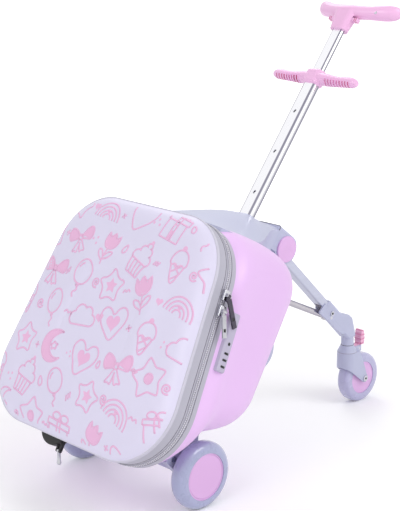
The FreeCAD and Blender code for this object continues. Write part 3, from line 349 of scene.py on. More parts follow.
pink_shell = shell_skin("pink_shell_skin", paint(235, 195, 245))
print_ground = printed_film("print_ground_film", paint(223, 218, 241))
print_ink = printed_film("print_ink_film", paint(235, 185, 222))
grey_tape = woven_tape("grey_band_tape", paint(190, 188, 202), 0.9 * mm)
lining_cloth = woven_tape("lining_cloth", paint(222, 217, 226), 1.2 * mm)
piping_cord = moulded_plastic("grey_piping_vinyl", paint(208, 205, 220), 0.45, 700.0, rough_grain)
# Pale nylon of the zip teeth, also painted light inside the arm's slot
teeth_nylon_and_slot_light = moulded_plastic("zip_teeth_nylon", paint(228, 226, 234), 0.4, 900.0, smooth_grain)
# Dark grey of the joint lines, also painted shade along the zip tape's edges
joint_and_shade_grey = moulded_plastic("seam_shadow_grey", paint(104, 101, 114), 0.6, 900.0, smooth_grain)
lilac = paint(190, 193, 219)
lilac_plastic = moulded_plastic("lilac_plastic_moulded", lilac, 0.42, 1100.0, plain_grain, 0.15)
pink_plastic = moulded_plastic("pink_plastic_moulded", handle_pink, 0.36, 1000.0, smooth_grain, 0.3)
hub_plastic = moulded_plastic("hub_plastic_moulded", paint(229, 184, 233), 0.36, 1000.0, smooth_grain, 0.3)
dark_plastic = moulded_plastic("dark_plastic_moulded", paint(28, 27, 30), 0.4, 900.0, rough_grain)
lock_plastic = moulded_plastic("lock_plastic_moulded", paint(188, 181, 204), 0.38, 1000.0, smooth_grain, 0.2)
# Grey plastic of the rod guide and the swivel bush, also painted shade along the rim of the fork's collar
grey_plastic_and_rim_shade = moulded_plastic("grey_plastic_moulded", paint(150, 146, 158), 0.45, 900.0, plain_grain)
# Black plastic of the dials, also painted shade of the keyhole and the screw sockets
dial_black_and_shade = moulded_plastic("dial_black_moulded", paint(24, 24, 27), 0.35, 900.0, smooth_grain)
# The pedal's darker colour is painted shade between its ribs
pedal_plastic = ribbed_plastic("pedal_plastic_ribbed", paint(242, 184, 215), paint(220, 138, 178), 6.4 * mm)
bar_plastic = slotted_plastic(
    "bar_plastic_slot_shade", "child_bar",
    start=22 * mm, pitch=4.8 * mm, rib=2.6 * mm, rib_count=10, height=8.74 * mm)
trigger_pink = slotted_plastic(
    "trigger_pink_slot_shade", "release_trigger",
    start=18.6 * mm, pitch=2.8 * mm, rib=1.4 * mm, rib_count=3, height=6.0 * mm)
lower_tube_metal = flat_tube_metal("lower_tube_drawn", tube_bright, tube_shade, 0.22, 5.0 * mm, 7.0 * mm)
upper_tube_metal = flat_tube_metal("upper_tube_drawn", tube_bright, tube_shade, 0.22, 4.8 * mm, 4.6 * mm)
arm_metal = drawn_metal("arm_aluminium_drawn", paint(204, 206, 224), 0.3, arm_turn, along_arm)
stay_metal = plated_metal("stay_steel_polished", paint(202, 198, 205), 0.14)
screw_metal = plated_metal("screw_steel_plated", paint(214, 214, 222), 0.22)
zip_metal = plated_metal("zip_metal_polished", paint(206, 206, 212), 0.14)
# Darker metal for the upper pull, as painted shade of its side turned away from the light
pull_shade_metal = plated_metal("zip_metal_dark", paint(92, 88, 100), 0.2)
rear_tread = wheel_tread("rear_tyre_tread", paint(169, 175, 207), "rear_tyre_right")
caster_tread = wheel_tread("caster_tyre_tread", paint(186, 184, 219), "caster_tyre")

finishes = {
    "back_shell": pink_shell, "lid_shell": print_ground, "lid_band": grey_tape, "zip_band": grey_tape,
    "lid_piping": piping_cord, "zip_chain": grey_tape, "inner_divider": lining_cloth,
    "lid_hinge_strip": grey_tape, "seat_cap": lilac_plastic, "rod_guide": grey_plastic_and_rim_shade,
    "hinge_head": lilac_plastic, "hinge_pin": screw_metal, "hinge_disc_right": hub_plastic,
    "hinge_disc_left": hub_plastic, "back_plate": lilac_plastic, "wheel_bracket_right": lilac_plastic,
    "wheel_bracket_left": lilac_plastic, "bracket_screws": screw_metal, "rear_axle": screw_metal,
    "axle_crossbar": lilac_plastic, "rear_tyre_right": rear_tread, "rear_tyre_left": rear_tread,
    "rear_hub_right": hub_plastic, "rear_hub_left": hub_plastic, "hub_cover_right": hub_plastic,
    "hub_cover_left": hub_plastic, "lower_tube": lower_tube_metal, "lower_tube_plug": dark_plastic,
    "child_bar": bar_plastic, "upper_tube": upper_tube_metal, "upper_tube_plug": dark_plastic,
    "grip_handle": pink_plastic, "handle_screw": screw_metal, "release_trigger": trigger_pink,
    "arm_tube": arm_metal, "knuckle": lilac_plastic, "knuckle_screws": screw_metal,
    "stay_pivot_pin": screw_metal, "swivel_bush": grey_plastic_and_rim_shade, "stay_tube": stay_metal,
    "stay_cross_pin": screw_metal, "caster_fork": lilac_plastic, "kingpin": screw_metal,
    "caster_axle": screw_metal, "pedal_pin": screw_metal, "brake_pedal": pedal_plastic,
    "caster_tyre": caster_tread, "caster_hub": hub_plastic, "zip_slider_upper": zip_metal,
    "zip_slider_lower": zip_metal, "zip_pull_upper": pull_shade_metal, "zip_pull_lower": zip_metal,
    "lock_dial_1": dial_black_and_shade, "lock_dial_2": dial_black_and_shade, "lock_dial_3": dial_black_and_shade,
    "lock_body": lock_plastic, "zip_end": dark_plastic, "drop_pull": zip_metal,
}
for name, material in finishes.items():
    slots = nodes[name].material_slots
    if len(slots) == 0:
        nodes[name].data.materials.append(material)
    for slot in slots:
        slot.material = material


# Modelling helpers

def clear_selection():
    bpy.ops.object.select_all(action="DESELECT")


def pick(piece):
    clear_selection()
    piece.select_set(True)
    bpy.context.view_layer.objects.active = piece


def apply_modifiers(piece):
    pick(piece)
    for modifier in list(piece.modifiers):
        bpy.ops.object.modifier_apply(modifier=modifier.name)


def settle(piece, place):
    piece.matrix_world = place
    pick(piece)
    bpy.ops.object.transform_apply(location=True, rotation=True, scale=True)


def hand_over(piece, name, material, body):
    piece.name = name
    piece.data.name = name
    piece.data.materials.clear()
    piece.data.materials.append(material)
    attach(piece, body)


def start_edit():
    bpy.ops.object.mode_set(mode="EDIT")
    bpy.ops.mesh.select_all(action="SELECT")


def end_edit():
    bpy.ops.object.mode_set(mode="OBJECT")
    return bpy.context.active_object


# A box with bevelled edges, left in edit mode and selected, so that more can be added to it
def add_box(half_sizes, bevel, segments):
    bpy.ops.mesh.primitive_cube_add(size=2.0)
    bpy.ops.object.mode_set(mode="EDIT")
    bpy.ops.transform.resize(value=half_sizes)
    bpy.ops.mesh.bevel(offset=bevel, segments=segments, affect="EDGES")


def bevelled_disc(corners, radius, depth, bevel):
    clear_selection()
    bpy.ops.mesh.primitive_cylinder_add(vertices=corners, radius=radius, depth=depth)
    start_edit()
    bpy.ops.mesh.bevel(offset=bevel, segments=2, affect="EDGES")
    return end_edit()


def start_curve(name, dimensions):
    curve = bpy.data.curves.new(name, "CURVE")
    curve.dimensions = dimensions
    piece = bpy.data.objects.new(name, curve)
    bpy.context.scene.collection.objects.link(piece)
    return piece, curve


def add_line(curve, points, closed=True, tilt=0.0):
    spline = curve.splines.new("POLY")
    spline.points.add(len(points) - 1)
    spline.use_cyclic_u = closed
    for point, place in zip(spline.points, points):
        point.co = (*place, 1.0)
        point.tilt = tilt


def at_height(points, height=0.0):
    return [(across, along, height) for across, along in points]


def as_mesh(piece):
    pick(piece)
    bpy.ops.object.convert(target="MESH")
    return bpy.context.view_layer.objects.active


cord_resolution = 2
merge_distance = 0.001 * mm


def lay_cord(name, points, radius, place, material, body, dimensions="3D"):
    cord, curve = start_curve(name, dimensions)
    curve.bevel_depth = radius
    curve.bevel_resolution = cord_resolution
    add_line(curve, points)
    cord = as_mesh(cord)
    settle(cord, place)
    hand_over(cord, name, material, body)


def pairs_round(items):
    return zip(items, items[1:] + items[:1])


# The face's outline, pulled in by an inset. Each straight edge is given by its normal's turn and its reach.
def face_outline(inset, steps=14):
    side_reach = face_bottom_half * math.cos(face_taper)
    edges = [
        (-math.pi / 2, 0.0),
        (face_taper, side_reach),
        (math.pi / 2, face_height),
        (math.pi - face_taper, side_reach),
    ]
    points = []
    for (turn_a, reach_a), (turn_b, reach_b) in pairs_round(edges):
        span = (turn_b - turn_a) % math.tau
        near = reach_a - face_corner
        far = reach_b - face_corner
        across = (near * math.sin(turn_b) - far * math.sin(turn_a)) / math.sin(span)
        along = (far * math.cos(turn_a) - near * math.cos(turn_b)) / math.sin(span)
        for step in range(steps + 1):
            turn = turn_a + span * step / steps
            reach = face_corner - inset
            points.append((across + reach * math.cos(turn), along + reach * math.sin(turn)))
    return points


# Line art of the print: each motif gives its strokes and its filled patches in a square of half size 1

def ring(across, along, radius, squeeze=1.0, start=0.0, end=360.0, steps=28):
    turns = [math.radians(start + (end - start) * step / steps) for step in range(steps + 1)]
    return [(across + radius * math.cos(turn), along + radius * squeeze * math.sin(turn)) for turn in turns]


def arcs(rows, steps):
    line = []
    for across, along, radius, start, end in rows:
        line += ring(across, along, radius, 1.0, start, end, steps)
    return line + line[:1]


def petals(count, reach, dip, steps=72):
    line = []
    for step in range(steps + 1):
        angle = math.tau * step / steps
        radius = reach - dip * abs(math.sin(angle * count / 2))
        line.append((radius * math.sin(angle), radius * math.cos(angle)))
    return line


def heart_line(size, steps=44):
    line = []
    for step in range(steps + 1):
        turn = math.tau * step / steps
        rise = 13 * math.cos(turn) - 5 * math.cos(2 * turn) - 2 * math.cos(3 * turn) - math.cos(4 * turn)
        line.append((size * math.sin(turn) ** 3, size * (rise + 2.5) / 16))
    return line


def star_line(points, size, waist):
    line = []
    for step in range(points * 2):
        radius = size if step % 2 == 0 else size * waist
        angle = math.pi * step / points
        line.append((radius * math.sin(angle), radius * math.cos(angle)))
    return line + line[:1]


def mirrored(line):
    return [(-across, along) for across, along in line]


def soften(line, rounds=2):
    for _ in range(rounds):
        closed = line[0] == line[-1]
        cut = []
        for first, second in zip(line, line[1:]):
            cut.append((0.75 * first[0] + 0.25 * second[0], 0.75 * first[1] + 0.25 * second[1]))
            cut.append((0.25 * first[0] + 0.75 * second[0], 0.25 * first[1] + 0.75 * second[1]))
        line = cut + [cut[0]] if closed else [line[0]] + cut + [line[-1]]
    return line


def heart():
    half = [(0, 0.42), (-0.32, 0.88), (-0.76, 0.92), (-1.04, 0.5), (-0.88, 0.0), (-0.45, -0.5), (0, -0.98)]
    return [half + mirrored(half[::-1])[1:]], [heart_line(0.5)]


def blossom():
    return [petals(5, 1.0, 0.36), ring(0, 0, 0.24)], [ring(0, 0, 0.24)]


def tulip():
    cup = [(-0.5, 0.9), (-0.55, 0.3), (-0.3, 0.0), (0, -0.05), (0.3, 0.0), (0.55, 0.3), (0.5, 0.9),
           (0.25, 0.55), (0, 0.95), (-0.25, 0.55), (-0.5, 0.9)]
    leaf_a = [(0, -0.6), (-0.25, -0.25), (-0.6, -0.2), (-0.45, -0.55), (0, -0.8)]
    leaf_b = [(-across, along + 0.08) for across, along in leaf_a]
    return [cup, [(0, -0.05), (0, -1.0)], leaf_a, leaf_b], [cup]


def cloud():
    puffs = (
        (-0.6, -0.15, 0.38, 250, 95), (-0.22, 0.22, 0.42, 165, 40),
        (0.34, 0.2, 0.36, 125, 5), (0.68, -0.18, 0.32, 85, -90),
    )
    return [arcs(puffs, 12)], []


def bow():
    loop = [(-0.1, 0.1), (-0.45, 0.5), (-0.85, 0.62), (-1.0, 0.2),
            (-0.85, -0.2), (-0.45, -0.12), (-0.1, -0.08)]
    tail = [(-0.08, -0.12), (-0.3, -0.5), (-0.55, -0.85), (-0.3, -0.8), (-0.12, -0.95), (0.02, -0.3)]
    other_loop = mirrored(loop)
    filled = [loop + loop[:1], other_loop + other_loop[:1], ring(0, 0, 0.16)]
    return [loop, other_loop, tail, mirrored(tail), ring(0, 0, 0.16)], filled


def gift():
    box = [(-0.7, -0.85), (0.7, -0.85), (0.7, 0.2), (-0.7, 0.2), (-0.7, -0.85)]
    top = [(-0.82, 0.2), (0.82, 0.2), (0.82, 0.48), (-0.82, 0.48), (-0.82, 0.2)]
    ribbon = [[(-0.12, -0.85), (-0.12, 0.48)], [(0.12, -0.85), (0.12, 0.48)]]
    loops = [ring(side * 0.3, 0.68, 0.28, 0.65) for side in (-1, 1)]
    band = [(-0.12, -0.85), (0.12, -0.85), (0.12, 0.48), (-0.12, 0.48), (-0.12, -0.85)]
    return [box, top] + ribbon + loops, [band, ring(0, 0.6, 0.13)]


def cone():
    scoop = ring(0, 0.3, 0.52, 1.1, -10, 190)
    drips = [(-0.52, 0.22), (-0.4, 0.06), (-0.2, 0.2), (0, 0.04), (0.2, 0.2), (0.4, 0.06), (0.52, 0.22)]
    wafer = [(-0.4, 0.06), (0, -1.0), (0.4, 0.06)]
    hatch = [[(-0.28, -0.26), (0.2, 0.1)], [(-0.14, -0.62), (0.28, -0.26)], [(0.28, -0.26), (-0.2, 0.1)]]
    return [scoop, drips, wafer] + hatch, [ring(0, 0.95, 0.14)]


def rainbow():
    return [ring(0, -0.4, radius, 1.0, 0, 180) for radius in (1.0, 0.76, 0.52, 0.3)], [heart_line(0.14)]


def moon():
    outer = ring(0, 0, 0.9, 1.0, 50, 310, 14)
    inner = ring(0.42, 0, 0.72, 1.0, 287, 73, 11)[1:-1]
    crescent = outer + inner + outer[:1]
    return [crescent, star_line(5, 0.26, 0.5)], [soften(crescent)]


def balloon():
    body = ring(0, 0.35, 0.56, 1.15)
    knot = [(0, -0.29), (-0.1, -0.42), (0.1, -0.42), (0, -0.29)]
    string = [(0, -0.42), (0.12, -0.6), (-0.1, -0.78), (0.06, -1.0)]
    shine = ring(0.0, 0.35, 0.38, 1.15, 110, 165, 8)
    return [body, knot, string, shine], []


def star():
    return [star_line(5, 1.0, 0.52)], [star_line(5, 0.42, 0.52)]


def cupcake():
    cup = [(-0.6, -0.1), (-0.42, -0.9), (0.42, -0.9), (0.6, -0.1)]
    pleats = [[(across * 1.25, -0.14), (across, -0.88)] for across in (-0.22, 0, 0.22)]
    swirls = (
        (-0.46, 0.06, 0.26, 235, 75), (-0.2, 0.42, 0.26, 190, 70), (0.0, 0.72, 0.2, 175, 5),
        (0.2, 0.42, 0.26, 110, -10), (0.46, 0.06, 0.26, 105, -55),
    )
    cream = arcs(swirls, 9)
    return [cup, cream] + pleats, [cream, ring(0, 0.98, 0.11)]


def swirl():
    line = []
    for step in range(40):
        turn = step * 0.3
        line.append((0.085 * turn * math.cos(turn), 0.085 * turn * math.sin(turn)))
    return [line], []


def zigzag():
    return [[(-1, -0.3), (-0.5, 0.4), (0, -0.3), (0.5, 0.4), (1, -0.3)]], []


def dashes():
    dash = [(-0.8, -0.5), (-0.5, 0.5)]
    return [[(across + 0.5 * step, along + 0.1 * step) for across, along in dash] for step in range(3)], []


def small_dots():
    return [], [ring(-0.7, -0.3, 0.24), ring(0.1, 0.5, 0.24), ring(0.7, -0.4, 0.24)]


def plus():
    return [[(-0.7, 0), (0.7, 0)], [(0, -0.7), (0, 0.7)]], []


def small_heart():
    return [], [heart_line(0.9)]


def droplet():
    return [[(0, 1.0), (-0.45, 0.2), (-0.5, -0.4), (0, -0.85), (0.5, -0.4), (0.45, 0.2), (0, 1.0)]], []


def divide(line, step):
    fine = [line[0]]
    for first, second in zip(line, line[1:]):
        length = math.dist(first, second)
        count = max(1, math.ceil(length / step))
        for index in range(1, count + 1):
            share = index / count
            across = first[0] + (second[0] - first[0]) * share
            along = first[1] + (second[1] - first[1]) * share
            fine.append((across, along))
    return fine


# Above zero where the point lies to the left of the line from the first place to the second
def side_of(first, second, point):
    across = second[0] - first[0]
    along = second[1] - first[1]
    return across * (point[1] - first[1]) - along * (point[0] - first[0])


def inside(point, outline):
    return all(side_of(first, second, point) >= 0 for first, second in pairs_round(outline))


def place_line(line, size, turn, at):
    across = size * math.cos(turn)
    along = size * math.sin(turn)
    return [(at[0] + x * across - y * along, at[1] + x * along + y * across) for x, y in line]


large_motifs = [blossom, cloud, heart, cone, bow, moon, gift, rainbow, star, cupcake, tulip, balloon]
small_motifs = [small_heart, dashes, plus, swirl, small_dots, zigzag, droplet]
rounded_motifs = {tulip, bow, cone, balloon, zigzag, droplet, heart, star, moon}
print_margin = 4.5 * mm
print_edge = face_outline(print_margin, steps=8)
stroke_step = 2.2 * mm
strokes = []
fills = []


def draw_motif(motif, at, size, turn):
    lines, patches = motif()
    for line in lines:
        if motif in rounded_motifs:
            line = soften(line)
        run = []
        for point in divide(place_line(line, size, turn, at), stroke_step):
            if inside(point, print_edge):
                run.append(point)
            else:
                strokes.append(run)
                run = []
        strokes.append(run)
    for patch in patches:
        patch = place_line(patch, size, turn, at)
        if all(inside(point, print_edge) for point in patch):
            fills.append(patch)


# The print's layout: rows of large motifs with a small one in each gap, every other row shifted
print_rows = 7
columns_each_side = 3
first_row = 9 * mm
row_pitch = 46 * mm
column_pitch = 59 * mm
large_size = 24.5 * mm
large_size_share = 0.08
large_shift = 3.5 * mm
large_turn = 0.35
small_size = 6.5 * mm
small_size_share = 0.15
small_shift = 4.0 * mm
small_turn = 0.6
draw = random.Random(11)


def stray(limit):
    return draw.uniform(-limit, limit)


deck = []
for row in range(print_rows):
    offset = column_pitch / 2 if row % 2 else 0.0
    for column in range(-columns_each_side, columns_each_side + 1):
        if not deck:
            deck = draw.sample(large_motifs, len(large_motifs))
        across = column * column_pitch + offset + stray(large_shift)
        along = first_row + row * row_pitch + stray(large_shift)
        size = large_size * (1 + stray(large_size_share))
        draw_motif(deck.pop(), (across, along), size, stray(large_turn))
        filler = small_motifs[(column * 2 + row * 3) % len(small_motifs)]
        gap = (across + column_pitch / 2, along + stray(small_shift))
        size = small_size * (1 + stray(small_size_share))
        draw_motif(filler, gap, size, stray(small_turn))

# The print starts flat in front of a merged copy of the lid, is pressed on to it and given a depth
ink_start = 40 * mm
ink_half = 1.15 * mm
ink_lift = 0.2 * mm
patch_lift = 0.1 * mm
ink_depth = 0.3 * mm


def lay_on_lid(piece, target, lift):
    piece.matrix_world = lid_frame
    wrap = piece.modifiers.new("on_lid", "SHRINKWRAP")
    wrap.target = target
    wrap.wrap_method = "PROJECT"
    wrap.use_project_z = True
    wrap.use_negative_direction = True
    wrap.use_positive_direction = False
    wrap.offset = lift
    solid = piece.modifiers.new("ink", "SOLIDIFY")
    solid.thickness = ink_depth
    solid.offset = -1.0
    bpy.context.view_layer.update()
    apply_modifiers(piece)
    settle(piece, lid_frame)


lid_copy = nodes["lid_shell"].copy()
lid_copy.data = nodes["lid_shell"].data.copy()
bpy.context.scene.collection.objects.link(lid_copy)
pick(lid_copy)
start_edit()
bpy.ops.mesh.remove_doubles(threshold=merge_distance)
end_edit()

line_art, line_curve = start_curve("print_line_art", "3D")
line_curve.twist_mode = "Z_UP"
line_curve.extrude = ink_half
for run in strokes:
    if len(run) > 2:
        closed = math.dist(run[0], run[-1]) < stroke_step / 4
        kept = run[:-1] if closed else run
        add_line(line_curve, at_height(kept, ink_start), closed, tilt=math.pi / 2)
line_art = as_mesh(line_art)
lay_on_lid(line_art, lid_copy, ink_lift)
hand_over(line_art, "print_line_art", print_ink, "lid")

patch_art, patch_curve = start_curve("print_patches", "2D")
patch_curve.fill_mode = "BOTH"
for patch in fills:
    add_line(patch_curve, at_height(patch[:-1]))
patch_art = as_mesh(patch_art)
start_edit()
bpy.ops.mesh.subdivide(number_cuts=2)
bpy.ops.transform.translate(value=(0, 0, ink_start))
end_edit()
lay_on_lid(patch_art, lid_copy, patch_lift)
hand_over(patch_art, "print_patches", print_ink, "lid")
bpy.data.objects.remove(lid_copy)

# Zip teeth: one tooth of each row, repeated round the case
tooth_half_width = 0.55 * mm
tooth_half_proud = 0.65 * mm
tooth_half_height = 0.8 * mm
tooth_bevel = 0.25 * mm
tooth_row_offset = 1.05 * mm
tooth_pitch_wish = 2.6 * mm
zip_outline = face_outline(-zip_proud)
zip_length = sum(math.dist(first, second) for first, second in pairs_round(zip_outline))
tooth_count = round(zip_length / tooth_pitch_wish)
tooth_pitch = zip_length / tooth_count
zip_path, path_curve = start_curve("zip_path", "2D")
add_line(path_curve, at_height(zip_outline))
clear_selection()
add_box((tooth_half_width, tooth_half_proud, tooth_half_height), tooth_bevel, 1)
bpy.ops.transform.translate(value=(tooth_pitch / 4, 0, tooth_row_offset))
bpy.ops.mesh.duplicate()
bpy.ops.transform.translate(value=(tooth_pitch / 2, 0, -2 * tooth_row_offset))
teeth = end_edit()
repeat = teeth.modifiers.new("round_the_case", "ARRAY")
repeat.count = tooth_count
repeat.use_relative_offset = False
repeat.use_constant_offset = True
repeat.constant_offset_displace = (tooth_pitch, 0, 0)
follow = teeth.modifiers.new("along_zip", "CURVE")
follow.object = zip_path
follow.deform_axis = "POS_X"
apply_modifiers(teeth)
settle(teeth, lid_frame @ Matrix.Translation((0, 0, -zip_depth)))
hand_over(teeth, "zip_teeth_row", teeth_nylon_and_slot_light, "case")
bpy.data.objects.remove(zip_path)

# Seams: one between the rows of teeth, one along the tape on the lid's side and one on the case's side; the
# two along the tape are dark lines of painted shade at the tape's edges
seam_radius = 0.4 * mm
seams = (
    ("zip_seam_middle", zip_depth, zip_proud, "case"),
    ("tape_seam_shade_lid", 16.2 * mm, 0.0, "lid"),
    ("tape_seam_shade_case", 27.0 * mm, 0.0, "case"),
)
for seam_name, seam_depth, seam_proud, seam_body in seams:
    seam_points = at_height(face_outline(-seam_proud))
    seam_place = lid_frame @ Matrix.Translation((0, 0, -seam_depth))
    lay_cord(seam_name, seam_points, seam_radius, seam_place, joint_and_shade_grey, seam_body, "2D")

# Lock face: a window round each dial, and above them a black disc as painted shade of the keyhole
lock_depth = 46.0 * mm
lock_rise = 140.0 * mm
lock_thickness = 8.5 * mm
lock_face = side_frame(lock_depth, lock_rise) @ Matrix.Translation((0, -lock_thickness, 0))
dial_margin = 7.0 * mm
dial_pitch = 8.0 * mm
dial_count = 3
window_half_width = 3.7 * mm
window_half_height = 1.3 * mm
window_proud = 0.12 * mm
window_bevel = 0.1 * mm
for index in range(dial_count):
    dial_rise = (dial_margin + dial_pitch * index) / math.cos(face_taper)
    clear_selection()
    add_box((window_half_width, window_proud, window_half_height), window_bevel, 1)
    window = end_edit()
    settle(window, lock_face @ Matrix.Translation((0, 0, dial_rise)))
    hand_over(window, "lock_window_%d" % (index + 1), dial_black_and_shade, "case")

keyhole_rise = 34.8 * mm
keyhole_radius = 2.1 * mm
keyhole_depth = 0.5 * mm
keyhole_corners = 28
keyhole_bevel = 0.12 * mm
# A black disc as painted shade of the keyhole
keyhole = bevelled_disc(keyhole_corners, keyhole_radius, keyhole_depth, keyhole_bevel)
settle(keyhole, lock_face @ Matrix.Translation((0, 0, keyhole_rise)) @ sideways)
hand_over(keyhole, "lock_keyhole_shade", dial_black_and_shade, "case")

# Black inlay in the square window of each zip pull, which hangs from its slider's pin, swung aside and lifted
pin_proud = 7.9 * mm
pull_eye = 2.2 * mm
pull_rise = 10.6 * mm
pull_window_share = 0.72
inlay_half = 1.9 * mm
inlay_half_depth = 0.55 * mm
inlay_bevel = 0.15 * mm
pulls = (
    ("upper_pull", 78.0 * mm, 40.0 * mm, math.radians(36.0)),
    ("lower_pull", 97.0 * mm, 31.0 * mm, math.radians(20.0)),
)
for body, slider_drop, pull_length, swing in pulls:
    lift = math.asin((pull_rise - pin_proud) / (pull_length - pull_eye))
    pin_frame = side_frame(zip_depth, face_height - slider_drop) @ Matrix.Translation((0, -pin_proud, 0))
    hang = Matrix.Rotation(-lift, 4, "X") @ Matrix.Rotation(-swing, 4, "Y")
    clear_selection()
    add_box((inlay_half, inlay_half_depth, inlay_half), inlay_bevel, 2)
    inlay = end_edit()
    settle(inlay, pin_frame @ hang @ Matrix.Translation((0, 0, -pull_length * pull_window_share)))
    hand_over(inlay, body + "_inlay", dial_black_and_shade, body)


# Dark joint line between the saddle cap and the hinge head, round the head's front edge

def hull(points):
    points = sorted(set(points))
    chains = []
    for ordered in (points, points[::-1]):
        chain = []
        for point in ordered:
            while len(chain) > 1 and side_of(chain[-2], chain[-1], point) <= 0:
                chain.pop()
            chain.append(point)
        chains.append(chain[:-1])
    return chains[0] + chains[1]


front_slice = 0.2 * mm
cap_line_radius = 0.45 * mm
into_case = case_frame.inverted()
head_points = [into_case @ vertex.co for vertex in nodes["hinge_head"].data.vertices]
head_front = min(point.x for point in head_points)
front_points = [point for point in head_points if point.x < head_front + front_slice]
head_edge = hull([(round(point.y, 5), round(point.z, 5)) for point in front_points])
cap_line = [(head_front, across, along) for across, along in head_edge]
lay_cord("cap_joint_line", cap_line, cap_line_radius, case_frame, joint_and_shade_grey, "case")

# Dark joint line of the swivel, between the knuckle and the fork, and a grey rim line of painted shade along
# the step of the fork's collar
swivel_x = centre_of("kingpin").x
knuckle_low, knuckle_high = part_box("knuckle")
fork_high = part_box("caster_fork")[1]
joint_height = (fork_high.z + knuckle_low.z) / 2
joint_reach = knuckle_high.x - swivel_x
collar_height = 82.0 * mm
collar_line_sink = 0.1 * mm
collar_reach = fork_high.y - collar_line_sink
joint_line_radius = 0.4 * mm
collar_line_radius = 0.3 * mm
swivel_lines = (
    ("swivel_joint_line", joint_height, joint_reach, joint_line_radius, joint_and_shade_grey),
    ("collar_rim_shade_line", collar_height, collar_reach, collar_line_radius, grey_plastic_and_rim_shade),
)
rim_steps = 48
for line_name, height, reach, radius, finish in swivel_lines:
    turns = [math.tau * step / rim_steps for step in range(rim_steps)]
    rim = [(swivel_x + reach * math.cos(turn), reach * math.sin(turn), height) for turn in turns]
    lay_cord(line_name, rim, radius, Matrix(), finish, "caster")

# Black discs on the heads of the screws and the caster's axle, as painted shade of their sockets
socket_depth = 0.5 * mm
socket_corners = 6
socket_bevel = 0.1 * mm
sockets = (
    ("knuckle_screws", "arm", 1.9 * mm),
    ("caster_axle", "caster", 1.7 * mm),
)
for node_name, body, socket_radius in sockets:
    low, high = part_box(node_name)
    middle = centre_of(node_name)
    for side, y in (("right", low.y), ("left", high.y)):
        spot = Matrix.Translation((middle.x, y, middle.z))
        hexagon = bevelled_disc(socket_corners, socket_radius, socket_depth, socket_bevel)
        settle(hexagon, spot @ sideways)
        hand_over(hexagon, node_name + "_socket_" + side, dial_black_and_shade, body)

# Pale plate inside the arm's slot, above the stay, as painted light in the slot's shade: a plate with a thin
# wall down either side
slot_light_reach = 151.5 * mm
slot_light_drop = 1.9 * mm
slot_light_half_length = 12.0 * mm
slot_light_half_width = 5.9 * mm
slot_light_half_thickness = 0.7 * mm
slot_light_bevel = 0.3 * mm
wall_half_length = 11.5 * mm
wall_half_thickness = 0.3 * mm
wall_half_height = 2.6 * mm
wall_bevel = 0.1 * mm
clear_selection()
add_box((slot_light_half_length, slot_light_half_width, slot_light_half_thickness), slot_light_bevel, 2)
for hand in (-1, 1):
    wall_side = hand * (slot_light_half_width - wall_half_thickness)
    add_box((wall_half_length, wall_half_thickness, wall_half_height), wall_bevel, 1)
    bpy.ops.transform.translate(value=(0, wall_side, slot_light_half_thickness - wall_half_height))
slot_light_plate = end_edit()
settle(slot_light_plate, arm_frame @ Matrix.Translation((slot_light_reach, 0, -slot_light_drop)))
hand_over(slot_light_plate, "arm_slot_light_plate", teeth_nylon_and_slot_light, "arm")

# Cheek of the knuckle on the right, which closes its lower edge beside the stay.
# Its corners are given as reach and rise in the arm's frame, in mm.
cheek_corners = (
    (146.6, 0.0), (144.8, -14.6), (146.4, -16.4), (174.0, -14.6),
    (209.5, -12.1), (214.0, -9.0), (214.0, -4.0), (160.0, 0.0),
)
cheek_outline = [(reach * mm, rise * mm) for reach, rise in cheek_corners]
cheek_side = 8.3 * mm
cheek_half_thickness = 1.1 * mm
cheek_bevel = 0.5 * mm
cheek, cheek_curve = start_curve("knuckle_cheek", "2D")
cheek_curve.fill_mode = "BOTH"
cheek_curve.extrude = cheek_half_thickness
cheek_curve.bevel_depth = cheek_bevel
cheek_curve.bevel_resolution = cord_resolution
add_line(cheek_curve, at_height(cheek_outline))
cheek = as_mesh(cheek)
start_edit()
bpy.ops.mesh.remove_doubles(threshold=merge_distance)
bpy.ops.mesh.normals_make_consistent(inside=False)
end_edit()
settle(cheek, arm_frame @ Matrix.Translation((0, -cheek_side, 0)) @ sideways)
hand_over(cheek, "knuckle_cheek", lilac_plastic, "arm")

# Floor, light and camera
white = (1.0, 1.0, 1.0, 1.0)
floor_white = (0.95, 0.95, 0.96, 1.0)
floor_size = 30.0
clear_selection()
bpy.ops.mesh.primitive_plane_add(size=floor_size)
floor = bpy.context.active_object
floor.name = "studio_floor"
floor_paint, floor_tree, floor_shader, floor_place = start_finish("studio_floor_white", 0.9, specular=0.0)
floor_shader.inputs["Base Color"].default_value = floor_white
floor_shader.inputs["Emission Color"].default_value = white
floor.data.materials.append(floor_paint)


def seen_directly(tree, mirror_share):
    rays = add_node(tree, "ShaderNodeLightPath")
    mirrored_rays = maths(tree, "MULTIPLY", rays.outputs["Is Glossy Ray"], mirror_share)
    straight = maths(tree, "MAXIMUM", rays.outputs["Is Camera Ray"], rays.outputs["Is Transmission Ray"])
    return maths(tree, "MAXIMUM", straight, mirrored_rays)


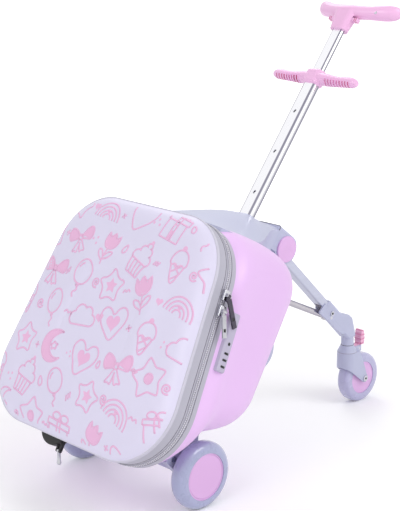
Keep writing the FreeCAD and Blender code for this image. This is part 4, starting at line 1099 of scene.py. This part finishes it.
# The floor glows white away from the object, so that only the shadow under it shows
glow_near = 0.3
glow_far = 2.0
glow_least = 0.12
glow_most = 0.7
floor_mirror_share = 0.2
far = add_node(floor_tree, "ShaderNodeVectorMath", operation="LENGTH")
floor_tree.links.new(floor_place, far.inputs[0])
whiten = remap(floor_tree, far.outputs["Value"], glow_near, glow_far, glow_least, glow_most)
floor_seen = seen_directly(floor_tree, floor_mirror_share)
floor_glow = maths(floor_tree, "MULTIPLY", whiten.outputs["Result"], floor_seen)
floor_tree.links.new(floor_glow, floor_shader.inputs["Emission Strength"])

sky_light = 0.64
sky_seen = 1.0
world = bpy.data.worlds.new("studio_air")
bpy.context.scene.world = world
world.use_nodes = True
air = world.node_tree
sky = air.nodes["Background"]
sky.inputs["Color"].default_value = white
level = remap(air, seen_directly(air, 1.0), 0.0, 1.0, sky_light, sky_seen)
air.links.new(level.outputs["Result"], sky.inputs["Strength"])


def aim(holder, place, target):
    holder.location = place
    holder.rotation_euler = (Vector(target) - Vector(place)).to_track_quat("-Z", "Y").to_euler()
    bpy.context.scene.collection.objects.link(holder)


def soft_lamp(name, place, target, power, size):
    lamp = bpy.data.lights.new(name, "AREA")
    lamp.energy = power
    lamp.size = size
    aim(bpy.data.objects.new(name, lamp), place, target)


soft_lamp("key_lamp", (0.9, -2.4, 2.4), (0.0, 0.0, 0.3), power=34.0, size=1.8)
soft_lamp("fill_lamp", (-2.6, -0.6, 1.8), (0.0, 0.0, 0.3), power=20.0, size=1.1)
soft_lamp("rim_lamp", (1.2, 1.8, 2.4), (0.1, 0.0, 0.3), power=16.0, size=1.4)

camera_place = (-1.2564, -1.2494, 0.7349)
camera_target = (-0.0635, 0.0, 0.2811)
camera = bpy.data.cameras.new("photo_camera")
camera.sensor_fit = "VERTICAL"
camera.sensor_height = 36.0
camera.lens = 97.64
camera_stand = bpy.data.objects.new("photo_camera", camera)
aim(camera_stand, camera_place, camera_target)
bpy.context.scene.camera = camera_stand
bpy.context.scene.view_settings.view_transform = "Standard"
